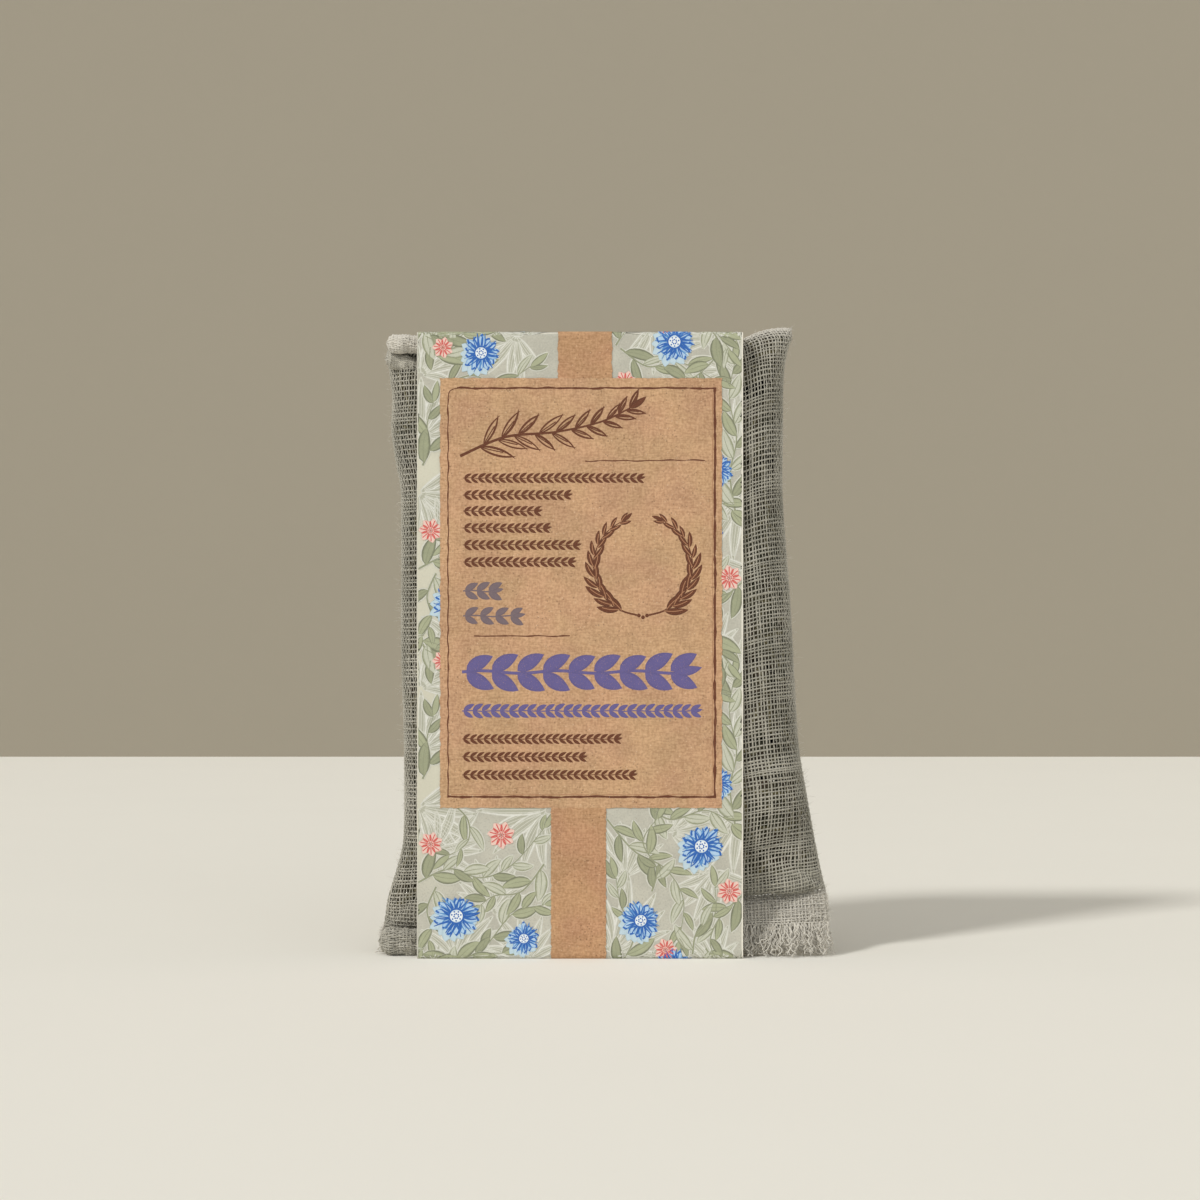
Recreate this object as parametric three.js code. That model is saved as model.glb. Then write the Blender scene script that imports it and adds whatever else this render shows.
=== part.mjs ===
// Scented sachet: a gauze pouch of dried bay leaves, standing in a printed card sleeve.
// Millimetres, +Z up, the printed front facing -Y. The origin is the centre of the sleeve's underside.
// The pouch is two rectangles of gauze, sewn and turned along both sides and the top, filled through
// the bottom and closed there by one straight line of stitching above its raw, frayed hem.

import * as THREE from 'three';
import { mergeVertices } from 'three/addons/utils/BufferGeometryUtils.js';

// Card sleeve
const sleeveWidth = 72.5;
const sleeveHeight = 139.4;
const sleeveDepth = 24;
const cardThickness = 0.4;
const foldRadius = 0.9;
const lapOverlap = 15;
const lapEdgeHeight = 52;
const lapStepRun = 5;
const lapStepClearance = 3;
const lapGap = 0.2;
const tapeThickness = 0.1;
const tapeInset = 2;

// Gauze pouch
const pouchFlatWidth = 100.8;
const pouchShift = 6;
const clothThickness = 0.5;
const seamGap = 0.3;
const sleeveClearance = 0.35;
const topRoundRun = 17;
const bottomTaperRun = 27;
const hemHeightLeft = 4.8;
const hemHeightRight = 13.8;
const hemLean = 8.5;
const earRise = 2.4;
const earRun = 6;
const earStandOff = 1;

// Seams
const threadDiameter = 0.4;
const threadClearance = 0.3;
const stitchLength = 4;
const stitchLift = 0.2;
const seamThreadSway = 0.35;
const seamEndInset = 4;

// Bay leaves
const leafThickness = 0.4;
const leafGap = 0.35;
const leafStalkLength = 6;
const leafStalkWidth = 1.4;
const leafSideMargin = 6;
const leafTopMargin = 5.5;
const leafBottomMargin = 12;

// Half widths of the standing pouch as shares of half its flat width, by shares of its height.
const rightEdgeShares = [
  [0, 0.99], [0.03, 0.975], [0.065, 1], [0.097, 0.98], [0.163, 0.94], [0.253, 0.895], [0.327, 0.861],
  [0.41, 0.845], [0.574, 0.82], [0.738, 0.787], [0.82, 0.787], [0.943, 0.792], [0.985, 0.812], [1, 0.828],
];
const leftEdgeShares = [
  [0, 0.955], [0.012, 0.985], [0.033, 1], [0.057, 0.992], [0.081, 0.983], [0.114, 0.956], [0.147, 0.929],
  [0.18, 0.911], [0.262, 0.907], [0.376, 0.911], [0.492, 0.921], [0.754, 0.923], [0.803, 0.947],
  [0.853, 0.965], [0.902, 0.96], [0.935, 0.97], [0.981, 0.983], [1, 0.97],
];

// Leaves of one layer: centre as shares of the fill's width and height, turn from upright in degrees,
// length as a share of the fill's height and width as a share of its width.
const uprightLayerShares = [
  [-0.34, 0.13, -4, 0.65, 0.29],
  [0.01, 0.145, 3, 0.67, 0.31],
  [0.345, 0.13, -3, 0.64, 0.28],
  [0.01, -0.36, 86, 0.66, 0.3],
];
const slantedLayerShares = [
  [-0.18, 0.215, 40, 0.58, 0.3],
  [0, 0, 40, 0.7, 0.3],
  [0.18, -0.215, 40, 0.58, 0.3],
];
const layerCount = 8;
const leafTwistDegrees = 3;

const sleeveHalfDepth = sleeveDepth / 2;
const halfFlatWidth = pouchFlatWidth / 2;
const lapOffset = cardThickness + lapGap;
const pouchBottom = cardThickness + sleeveClearance;
const pouchTop = sleeveHeight - cardThickness - sleeveClearance;
const frontFill = sleeveHalfDepth - cardThickness - sleeveClearance - clothThickness - seamGap / 2;
const backFill = frontFill - lapOffset;
const earStart = sleeveWidth / 2 + earStandOff;

const materials = {
  kraftCard: new THREE.MeshStandardMaterial({ color: 0xc3a27c, roughness: 0.85, metalness: 0 }),
  tape: new THREE.MeshStandardMaterial({ color: 0xe8e4d8, roughness: 0.5, metalness: 0 }),
  gauze: new THREE.MeshStandardMaterial({ color: 0xa8a497, roughness: 0.95, metalness: 0 }),
  thread: new THREE.MeshStandardMaterial({ color: 0xd8d2c2, roughness: 0.8, metalness: 0 }),
  leaf: new THREE.MeshStandardMaterial({ color: 0x5c5f38, roughness: 0.75, metalness: 0 }),
};

function clamp01(value) {
  return Math.min(1, Math.max(0, value));
}

function smoothStep(value) {
  const q = clamp01(value);
  return q * q * (3 - 2 * q);
}

function mix(from, to, share) {
  return from + (to - from) * share;
}

// Quarter round from 0 at the edge to 1 at a full radius in from it.
function quarterRound(distance, radius) {
  const q = 1 - clamp01(distance / radius);
  return Math.sqrt(1 - q * q);
}

// Value of a table of [place, value] at a place, along a smooth curve through its points.
function smoothThrough(points, place) {
  const last = points.length - 1;
  const at = Math.min(points[last][0], Math.max(points[0][0], place));
  let i = 0;
  while (i < last - 1 && points[i + 1][0] < at) {
    i += 1;
  }
  const slope = (a, b) => (points[b][1] - points[a][1]) / (points[b][0] - points[a][0]);
  const startSlope = slope(Math.max(0, i - 1), i + 1);
  const endSlope = slope(i, Math.min(last, i + 2));
  const span = points[i + 1][0] - points[i][0];
  const q = (at - points[i][0]) / span;
  const rise = q * q * (3 - 2 * q);
  const startPull = q * (1 - q) * (1 - q) * startSlope * span;
  const endPull = q * q * (q - 1) * endSlope * span;
  return mix(points[i][1], points[i + 1][1], rise) + startPull + endPull;
}

// The pouch's left and right edges, its top seam and its closing seam.
function edgeShare(z) {
  return (z - pouchBottom) / (pouchTop - pouchBottom);
}

function leftEdge(z) {
  return pouchShift - halfFlatWidth * smoothThrough(leftEdgeShares, edgeShare(z));
}

function rightEdge(z) {
  return pouchShift + halfFlatWidth * smoothThrough(rightEdgeShares, edgeShare(z));
}

function topSeamHeight(x) {
  return pouchTop + earRise * smoothStep((x - earStart) / earRun);
}

function closingSeamHeight(x) {
  const share = (x - pouchShift + halfFlatWidth) / pouchFlatWidth;
  return pouchBottom + mix(hemHeightLeft, hemHeightRight, clamp01(share));
}

// How full the pouch is at a point of its front view, from 0 at its seams to 1 against the sleeve.
function fullness(x, z) {
  const sides = quarterRound(x - leftEdge(z), frontFill) * quarterRound(rightEdge(z) - x, frontFill);
  const top = quarterRound(topSeamHeight(x) - z, topRoundRun);
  const bottom = smoothStep((z - closingSeamHeight(x)) / bottomTaperRun);
  return sides * top * bottom;
}

// The hem leans forward below the closing seam.
function hemOffset(x, z) {
  const seam = closingSeamHeight(x);
  const share = clamp01((seam - z) / (seam - pouchBottom));
  return -hemLean * Math.pow(share, 1.5);
}

// Turns a triangle list the right way out, merges its shared corners and drops what has no area.
function closedGeometry(positions, triangles) {
  const raw = new THREE.BufferGeometry();
  raw.setAttribute('position', new THREE.Float32BufferAttribute(positions, 3));
  raw.setIndex(triangles);
  const merged = mergeVertices(raw);
  const place = merged.getAttribute('position');
  const corner = (i) => new THREE.Vector3().fromBufferAttribute(place, i);
  const kept = [];
  let volume = 0;
  for (let i = 0; i < merged.index.count; i += 3) {
    const [a, b, c] = [merged.index.getX(i), merged.index.getX(i + 1), merged.index.getX(i + 2)];
    if (a !== b && b !== c && c !== a) {
      kept.push([a, b, c]);
      volume += corner(a).dot(corner(b).cross(corner(c)));
    }
  }
  merged.setIndex(kept.flatMap(([a, b, c]) => (volume > 0 ? [a, b, c] : [a, c, b])));
  merged.computeVertexNormals();
  return merged;
}

// A thin solid between two grids of points, which outerAt and innerAt give by row and column.
function sheetSolid(rowCount, columnCount, outerAt, innerAt) {
  const positions = [];
  for (const pointAt of [outerAt, innerAt]) {
    for (let row = 0; row <= rowCount; row += 1) {
      for (let column = 0; column <= columnCount; column += 1) {
        positions.push(...pointAt(row, column));
      }
    }
  }
  const outer = (row, column) => row * (columnCount + 1) + column;
  const inner = (row, column) => (rowCount + 1) * (columnCount + 1) + outer(row, column);
  const triangles = [];
  for (let row = 0; row < rowCount; row += 1) {
    for (let column = 0; column < columnCount; column += 1) {
      const [a, b] = [outer(row, column), outer(row, column + 1)];
      const [c, d] = [outer(row + 1, column + 1), outer(row + 1, column)];
      triangles.push(d, c, b, d, b, a);
      const [e, f] = [inner(row, column), inner(row, column + 1)];
      const [g, h] = [inner(row + 1, column + 1), inner(row + 1, column)];
      triangles.push(h, f, g, h, e, f);
    }
  }
  const rim = [];
  for (let column = columnCount; column > 0; column -= 1) {
    rim.push([0, column]);
  }
  for (let row = 0; row < rowCount; row += 1) {
    rim.push([row, 0]);
  }
  for (let column = 0; column < columnCount; column += 1) {
    rim.push([rowCount, column]);
  }
  for (let row = rowCount; row > 0; row -= 1) {
    rim.push([row, columnCount]);
  }
  rim.forEach((from, i) => {
    const to = rim[(i + 1) % rim.length];
    triangles.push(outer(...to), outer(...from), inner(...from));
    triangles.push(outer(...to), inner(...from), inner(...to));
  });
  return closedGeometry(positions, triangles);
}

// A tube of round thread through a list of points.
function threadAlong(points) {
  const sides = 5;
  const section = new THREE.Shape();
  for (let i = 0; i < sides; i += 1) {
    const angle = (2 * Math.PI * i) / sides;
    const across = (threadDiameter / 2) * Math.cos(angle);
    const up = (threadDiameter / 2) * Math.sin(angle);
    if (i === 0) {
      section.moveTo(across, up);
    } else {
      section.lineTo(across, up);
    }
  }
  section.closePath();
  return new THREE.ExtrudeGeometry(section, {
    steps: points.length - 1,
    bevelEnabled: false,
    extrudePath: new THREE.CatmullRomCurve3(points),
  });
}

function named(name, geometry, material) {
  const mesh = new THREE.Mesh(geometry, material);
  mesh.name = name;
  return mesh;
}

// The sleeve is one strip of card, folded round the pouch, its ends lapped and taped at the back.
function cardSleeve() {
  const [y, top, t, r] = [sleeveHalfDepth, sleeveHeight, cardThickness, foldRadius];
  const inner = r - t;
  const stepTop = lapEdgeHeight - lapStepClearance;
  const stepBottom = stepTop - lapStepRun;
  const flapTop = lapEdgeHeight + lapOverlap;
  const strip = new THREE.Shape();
  strip.moveTo(y, lapEdgeHeight);
  strip.lineTo(y, top - r);
  strip.absarc(y - r, top - r, r, 0, Math.PI / 2, false);
  strip.absarc(r - y, top - r, r, Math.PI / 2, Math.PI, false);
  strip.absarc(r - y, r, r, Math.PI, 1.5 * Math.PI, false);
  strip.absarc(y - r, r, r, 1.5 * Math.PI, 2 * Math.PI, false);
  strip.lineTo(y, stepBottom);
  strip.lineTo(y - lapOffset, stepTop);
  strip.lineTo(y - lapOffset, flapTop);
  strip.lineTo(y - lapOffset - t, flapTop);
  strip.lineTo(y - lapOffset - t, stepTop);
  strip.lineTo(y - t, stepBottom);
  strip.absarc(y - r, r, inner, 2 * Math.PI, 1.5 * Math.PI, true);
  strip.absarc(r - y, r, inner, 1.5 * Math.PI, Math.PI, true);
  strip.absarc(r - y, top - r, inner, Math.PI, Math.PI / 2, true);
  strip.absarc(y - r, top - r, inner, Math.PI / 2, 0, true);
  strip.lineTo(y - t, lapEdgeHeight);
  strip.closePath();
  const geometry = new THREE.ExtrudeGeometry(strip, {
    depth: sleeveWidth,
    bevelEnabled: false,
    curveSegments: 4,
  });
  geometry.translate(0, 0, -sleeveWidth / 2);
  const acrossBecomesX = new THREE.Matrix4().makeBasis(
    new THREE.Vector3(0, 1, 0),
    new THREE.Vector3(0, 0, 1),
    new THREE.Vector3(1, 0, 0),
  );
  geometry.applyMatrix4(acrossBecomesX);
  return named('card_sleeve', geometry, materials.kraftCard);
}

function lapTape() {
  const width = sleeveWidth - 2 * tapeInset;
  const height = lapOverlap - 2 * tapeInset;
  const tape = named('lap_tape', new THREE.BoxGeometry(width, tapeThickness, height), materials.tape);
  tape.position.set(0, sleeveHalfDepth - cardThickness - lapGap / 2, lapEdgeHeight + lapOverlap / 2);
  return tape;
}

// One cloth of the pouch, side -1 for the front and 1 for the back. Its outer face stands a cloth's
// thickness proud of its inner one, in depth and all round its outline.
function pouchCloth(name, side) {
  const columnCount = 20;
  const bodyRows = 20;
  const hemRows = 4;
  const fill = side < 0 ? frontFill : backFill;
  const pointAt = (inset) => (row, column) => {
    const across = Math.sin((Math.PI / 2) * ((2 * column) / columnCount - 1));
    const inBody = row <= bodyRows;
    const down = inBody ? 1 - Math.cos((Math.PI / 2) * Math.min(1, row / bodyRows)) : 0;
    const bodyShare = mix(row / bodyRows, down, 0.5);
    const hemShare = (row - bodyRows) / hemRows;
    let x = pouchShift;
    let z = pouchTop;
    for (let pass = 0; pass < 6; pass += 1) {
      const seam = closingSeamHeight(x);
      z = inBody ? mix(topSeamHeight(x), seam, bodyShare) : mix(seam, pouchBottom, hemShare);
      x = mix(leftEdge(z), rightEdge(z), (across + 1) / 2);
    }
    const swell = fill * fullness(x, z);
    const y = side * (seamGap / 2 + clothThickness - inset + swell) + hemOffset(x, z);
    const topInset = inset * (1 - bodyShare) * (inBody ? 1 : 0);
    return [x - inset * across, y, z - topInset];
  };
  const geometry = sheetSolid(bodyRows + hemRows, columnCount, pointAt(0), pointAt(clothThickness));
  return named(name, geometry, materials.gauze);
}

// Sewing thread of the closing seam on one face of the pouch: the needle's or the bobbin's.
function closingThread(name, side) {
  const start = leftEdge(closingSeamHeight(leftEdge(pouchBottom))) + seamEndInset / 2;
  const end = rightEdge(closingSeamHeight(rightEdge(pouchBottom))) - seamEndInset / 2;
  const stitches = Math.round((end - start) / stitchLength);
  const stepsPerStitch = 3;
  const points = [];
  for (let i = 0; i <= stitches * stepsPerStitch; i += 1) {
    const share = i / (stitches * stepsPerStitch);
    const x = mix(start, end, share);
    const lift = stitchLift * Math.sin((Math.PI * (i % stepsPerStitch)) / stepsPerStitch);
    const standOff = seamGap / 2 + clothThickness + threadClearance + threadDiameter / 2 + lift;
    points.push(new THREE.Vector3(x, side * standOff, closingSeamHeight(x) + threadDiameter / 2));
  }
  return named(name, threadAlong(points), materials.thread);
}

// Sewing thread inside a turned seam, swaying between the two cloths just inside their edge.
function turnedSeamThread(name, length, pointAt) {
  const steps = 2 * Math.round(length / stitchLength);
  const points = [];
  for (let i = 0; i <= steps; i += 1) {
    const sway = seamThreadSway * (i % 2 === 0 ? 0 : 1);
    points.push(pointAt(i / steps, clothThickness + threadClearance + threadDiameter / 2 + sway));
  }
  return named(name, threadAlong(points), materials.thread);
}

function sideThread(name, edge, inward) {
  const sewnFrom = closingSeamHeight(edge(pouchBottom)) + seamEndInset;
  const sewnTo = pouchTop - seamEndInset;
  return turnedSeamThread(name, sewnTo - sewnFrom, (share, depth) => {
    const z = mix(sewnFrom, sewnTo, share);
    return new THREE.Vector3(edge(z) + inward * depth, 0, z);
  });
}

function topThread() {
  const start = leftEdge(pouchTop) + seamEndInset;
  const end = rightEdge(pouchTop) - seamEndInset;
  return turnedSeamThread('top_seam_thread', end - start, (share, depth) => {
    const x = mix(start, end, share);
    return new THREE.Vector3(x, 0, topSeamHeight(x) - depth);
  });
}

// The space that the leaves fill, in the pouch's front view.
function fillSpace() {
  const low = closingSeamHeight(rightEdge(pouchBottom)) + leafBottomMargin;
  const high = pouchTop - leafTopMargin;
  const middle = (low + high) / 2;
  const left = leftEdge(middle) + leafSideMargin;
  const right = rightEdge(middle) - leafSideMargin;
  return { x: (left + right) / 2, z: middle, width: right - left, height: high - low };
}

// A leaf's half width along its length: a short stalk, then a blade pointed at both ends.
function leafHalfWidth(share, length, width) {
  const stalkShare = leafStalkLength / length;
  const stalk = leafStalkWidth / 2;
  if (share <= stalkShare) {
    return stalk;
  }
  const blade = (share - stalkShare) / (1 - stalkShare);
  const swell = Math.pow(Math.sin(Math.PI * Math.pow(blade, 0.9)), 0.85);
  return stalk * (1 - blade) + (width / 2 - stalk / 2) * swell;
}

// A dried leaf, cupped between the layers next to it. Layers share the pouch's thickness evenly.
function bayLeaf(name, layer, [centreX, centreZ, turn, length, width], cupsBack) {
  const turned = THREE.MathUtils.degToRad(turn);
  const rowCount = 9;
  const columnCount = 4;
  const pointAt = (depth) => (row, column) => {
    const share = row === 0 ? 0 : mix(leafStalkLength / length, 1, (row - 1) / (rowCount - 1));
    const across = (2 * column) / columnCount - 1;
    const atTip = row === rowCount;
    const halfWidth = atTip ? 0 : leafHalfWidth(share, length, width);
    const along = (share - 1 / 2) * length;
    const x = centreX + along * Math.sin(turned) + across * halfWidth * Math.cos(turned);
    const z = centreZ + along * Math.cos(turned) - across * halfWidth * Math.sin(turned);
    const swell = fullness(x, z);
    const slab = (swell * (frontFill + backFill)) / layerCount;
    const play = Math.max(0, slab - leafThickness - leafGap);
    const cup = clamp01(across * across * (halfWidth / (width / 2)) + Math.pow(2 * share - 1, 4) / 2);
    const rise = cupsBack ? cup : 1 - cup;
    const front = -swell * frontFill + layer * slab + leafGap / 2 + rise * play;
    return [x, front + depth, z];
  };
  const geometry = sheetSolid(rowCount, columnCount, pointAt(0), pointAt(leafThickness));
  return named(name, geometry, materials.leaf);
}

// Layers of upright leaves alternate with layers of slanted ones, each second one turned over.
function leafFill() {
  const fill = fillSpace();
  const leaves = new THREE.Group();
  let number = 1;
  for (let layer = 0; layer < layerCount; layer += 1) {
    const layerShares = layer % 2 === 0 ? uprightLayerShares : slantedLayerShares;
    const flipped = layer % 4 > 1 ? -1 : 1;
    layerShares.forEach(([xShare, zShare, turn, lengthShare, widthShare], i) => {
      const twist = leafTwistDegrees * Math.sin(layer + i * 2);
      const place = [
        fill.x + flipped * xShare * fill.width,
        fill.z + (layer % 2 === 0 ? flipped : 1) * zShare * fill.height,
        flipped * turn + twist,
        lengthShare * fill.height,
        widthShare * fill.width,
      ];
      const name = `bay_leaf_${String(number).padStart(2, '0')}`;
      leaves.add(bayLeaf(name, layer, place, (layer + i) % 2 === 0));
      number += 1;
    });
  }
  return leaves;
}

const sleeve = new THREE.Group();
sleeve.add(cardSleeve(), lapTape());

const pouch = new THREE.Group();
pouch.add(
  pouchCloth('pouch_front_cloth', -1),
  pouchCloth('pouch_back_cloth', 1),
  sideThread('left_seam_thread', leftEdge, 1),
  sideThread('right_seam_thread', rightEdge, -1),
  topThread(),
  closingThread('closing_needle_thread', -1),
  closingThread('closing_bobbin_thread', 1),
  leafFill(),
);

const sachet = new THREE.Group();
sachet.add(sleeve, pouch);

export default sachet;
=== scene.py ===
"""Scented sachet: a gauze pouch of dried bay leaves, standing in a printed card sleeve.

Lengths in the formulas are millimetres in the frame's axes (+Z up, the printed front facing -Y), and meshes
are made in metres. The cloths are real yarns, woven over a surface that a cloth simulation has shaped.
"""

import functools

import bpy
import numpy as np
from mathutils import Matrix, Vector


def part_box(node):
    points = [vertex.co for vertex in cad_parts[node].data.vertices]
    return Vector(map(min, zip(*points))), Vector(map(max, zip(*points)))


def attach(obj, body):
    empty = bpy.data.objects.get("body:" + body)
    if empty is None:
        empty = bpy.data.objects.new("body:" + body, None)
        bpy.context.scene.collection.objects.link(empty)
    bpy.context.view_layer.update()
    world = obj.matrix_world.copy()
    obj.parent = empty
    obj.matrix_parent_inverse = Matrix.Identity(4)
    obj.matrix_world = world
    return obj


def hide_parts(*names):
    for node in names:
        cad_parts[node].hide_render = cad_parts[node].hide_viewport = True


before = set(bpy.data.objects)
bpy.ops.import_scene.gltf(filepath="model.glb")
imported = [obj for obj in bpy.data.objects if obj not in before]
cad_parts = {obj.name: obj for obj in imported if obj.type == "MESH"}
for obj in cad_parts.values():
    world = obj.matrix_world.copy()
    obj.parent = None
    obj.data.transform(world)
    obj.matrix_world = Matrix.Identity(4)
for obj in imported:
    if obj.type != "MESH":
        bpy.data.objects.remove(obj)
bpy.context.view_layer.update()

bl_info = {
    "name": "Scented Sachet",
    "version": (1, 0, 0),
    "blender": (4, 5, 0),
    "location": "View3D > Sidebar > Sachet",
    "description": "Builds a gauze pouch of bay leaves in a printed card sleeve",
    "category": "Add Mesh",
}

MM = 0.001


def box_mm(node):
    """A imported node's lowest and highest corner in millimetres."""
    low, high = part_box(node)
    return np.array(low) / MM, np.array(high) / MM


SLEEVE_LOW, SLEEVE_HIGH = box_mm("card_sleeve")
SLEEVE_WIDTH, SLEEVE_DEPTH, SLEEVE_HEIGHT = (SLEEVE_HIGH - SLEEVE_LOW).tolist()
HALF_WIDTH, HALF_DEPTH = SLEEVE_WIDTH / 2, SLEEVE_DEPTH / 2
CARD = 0.4
FOLD_RADIUS = 0.9

# The lap at the back: its edge's height, and where, over what run and how deep the card under it steps in.
LAP_EDGE, LAP_STEP, LAP_STEP_RUN, LAP_DEPTH = 52.0, 44.0, 5.0, 0.6

# The pouch, whose middle stands right of the sleeve's. The rooms are how far it fills to the front and back.
POUCH_FLAT_WIDTH, POUCH_SHIFT = 100.8, 6.0
POUCH_CLEARANCE = 0.75
POUCH_BOTTOM, POUCH_TOP = POUCH_CLEARANCE, SLEEVE_HEIGHT - POUCH_CLEARANCE
FRONT_ROOM, BACK_ROOM = 11.1, 10.5

# How far its fullness rounds off at the top and tapers at the bottom, and the lip over the closing seam.
TOP_ROUND_RUN, BOTTOM_TAPER_RUN = 17.0, 27.0
LIP_SHARE, LIP_RUN = 0.4, 3.8
LIP_SAG, LIP_SAG_RISE = 1.7, 1.3

# The raw hem's height at its left and right ends, and its lean forward, which is less at the left.
HEM_LEFT, HEM_RIGHT = 4.8, 13.8
HEM_LEAN, LEFT_LEAN_SHARE, LEFT_LEAN_RUN = 8.5, 0.3, 16.0

# The ear at the top right: its rise, the run that it takes, and how far off the sleeve it starts.
EAR_RISE, EAR_RUN, EAR_STAND_OFF = 2.6, 9.0, 0.4

# Half widths of the standing pouch as shares of half its flat width, by shares of its height.
RIGHT_EDGE_SHARES = (
    (0, 0.99), (0.03, 0.975), (0.065, 1), (0.097, 0.98), (0.163, 0.94), (0.253, 0.895), (0.327, 0.861),
    (0.41, 0.845), (0.574, 0.82), (0.738, 0.787), (0.82, 0.787), (0.943, 0.792), (0.985, 0.812), (1, 0.828),
)
LEFT_EDGE_SHARES = (
    (0, 0.955), (0.012, 0.985), (0.033, 1), (0.057, 0.992), (0.081, 0.983), (0.114, 0.956), (0.147, 0.929),
    (0.18, 0.911), (0.262, 0.907), (0.376, 0.911), (0.492, 0.921), (0.754, 0.923), (0.803, 0.947),
    (0.853, 0.965), (0.902, 0.96), (0.935, 0.97), (0.981, 0.983), (1, 0.97),
)

# The photograph is 1200 pixels wide, 0.2222 mm each at the sleeve's front, which is centred at pixel 580.
PIXEL = 0.2222
CENTRE_PIXEL, FLOOR_PIXEL, PHOTO_MIDDLE = 580, 959, 600


def px(pixel):
    """Across the sleeve's front, from a pixel column of the photograph."""
    return (pixel - CENTRE_PIXEL) * PIXEL


def pz(pixel):
    """Height on the sleeve's front, from a pixel row of the photograph."""
    return (FLOOR_PIXEL - pixel) * PIXEL


# Mesh helpers

PIECE_MAP = "OFBake"

# The mean square of a sine whose size is drawn evenly between a half and 1.
SINE_POWER = 0.29


def grid_faces(rows, columns, closed=False):
    """Quads of a grid of rows by columns points, its columns joined round if closed, as point numbers."""
    across = np.arange(columns if closed else columns - 1)
    row, column = np.meshgrid(np.arange(rows - 1), across, indexing="ij")
    after = (column + 1) % columns
    upper, lower = row * columns, (row + 1) * columns
    return np.stack([upper + column, upper + after, lower + after, lower + column], -1).reshape(-1, 4)


def repeated_faces(faces, copies, points_each):
    """One copy's faces, repeated for copies of points_each points."""
    starts = np.arange(copies)[:, None, None] * points_each
    return (faces[None] + starts).reshape(-1, faces.shape[-1])


def new_object(name, data):
    """A new object in the scene."""
    made = bpy.data.objects.new(name, data)
    bpy.context.scene.collection.objects.link(made)
    return made


def new_piece(name, part, material, body, replaces=()):
    """A smooth mesh object from points in millimetres, quads, and a map of one place per point or None."""
    points, faces, flat = part
    mesh = bpy.data.meshes.new(name)
    mesh.vertices.add(len(points))
    mesh.vertices.foreach_set("co", (points * MM).astype(np.float32).ravel())
    mesh.loops.add(faces.size)
    mesh.loops.foreach_set("vertex_index", faces.astype(np.int32).ravel())
    mesh.polygons.add(len(faces))
    starts = np.arange(len(faces), dtype=np.int32) * faces.shape[1]
    mesh.polygons.foreach_set("loop_start", starts)
    mesh.update(calc_edges=True)
    mesh.validate()
    mesh.polygons.foreach_set("use_smooth", np.ones(len(mesh.polygons), bool))
    if flat is not None:
        layer = mesh.uv_layers.new(name=PIECE_MAP)
        corner = np.empty(len(mesh.loops), np.int32)
        mesh.loops.foreach_get("vertex_index", corner)
        layer.data.foreach_set("uv", flat.astype(np.float32)[corner].ravel())
    mesh.materials.append(material)
    piece = new_object(name, mesh)
    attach(piece, body)
    if replaces:
        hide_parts(*replaces)
    return piece


def unit(vectors):
    """Vectors scaled to length 1."""
    return vectors / np.maximum(np.linalg.norm(vectors, axis=-1, keepdims=True), 1e-9)


def smooth_step(value):
    """0 to 1 with flat ends: q * q * (3 - 2q)."""
    q = np.clip(value, 0, 1)
    return q * q * (3 - 2 * q)


def quarter_round(distance, radius):
    """A quarter circle from 0 at the edge to 1 at a full radius in from it."""
    q = 1 - np.clip(distance / radius, 0, 1)
    return np.sqrt(1 - q * q)


def smooth_through(points, place):
    """A curve through a table of (place, value), with the slope at each point that of the chord across it."""
    at, value = np.array(points, float).T
    slope = np.gradient(value, at)
    slope[1:-1] = (value[2:] - value[:-2]) / (at[2:] - at[:-2])
    place = np.clip(place, at[0], at[-1])
    i = np.clip(np.searchsorted(at, place) - 1, 0, len(at) - 2)
    span = at[i + 1] - at[i]
    q = (place - at[i]) / span
    mixed = value[i] + (value[i + 1] - value[i]) * smooth_step(q)
    return mixed + (q * (1 - q) ** 2 * slope[i] + q * q * (q - 1) * slope[i + 1]) * span


def waves(seed, count, longest, shortest, *axes):
    """A smooth random field over the axes: sines of random direction, size and phase, with a spread of 1."""
    rng = np.random.default_rng(seed)
    total = 0
    for _ in range(count):
        length = longest * (shortest / longest) ** rng.random()
        turns = unit(rng.normal(size=len(axes)))
        along = sum(t * a for t, a in zip(turns, axes, strict=True))
        total = total + np.sin(2 * np.pi * (along / length + rng.random())) * rng.uniform(0.5, 1)
    return total / np.sqrt(count * SINE_POWER)


def rays(angle):
    """The directions at some angles, as their cosines and sines."""
    return np.stack([np.cos(angle), np.sin(angle)], -1)


# Shader maths


class Value:
    """A shader socket that Python's operators work on, each adding one Math node."""

    def __init__(self, recipe, socket):
        self.recipe = recipe
        self.socket = socket

    def math(self, operation, *values):
        return self.recipe.node("ShaderNodeMath", {"operation": operation}, *values)

    def __add__(self, other):
        return self.math("ADD", self, other)

    def __sub__(self, other):
        return self.math("SUBTRACT", self, other)

    def __rsub__(self, other):
        return self.math("SUBTRACT", other, self)

    def __mul__(self, other):
        return self.math("MULTIPLY", self, other)

    def __truediv__(self, other):
        return self.math("DIVIDE", self, other)

    def __abs__(self):
        return self.math("ABSOLUTE", self)

    def over(self, other):
        """1 where this is greater than the other."""
        return self.math("GREATER_THAN", self, other)

    def fract(self):
        return self.math("FRACT", self)

    def least(self, other):
        return self.math("MINIMUM", self, other)

    def most(self, other):
        return self.math("MAXIMUM", self, other)

    __radd__ = __add__
    __rmul__ = __mul__


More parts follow.
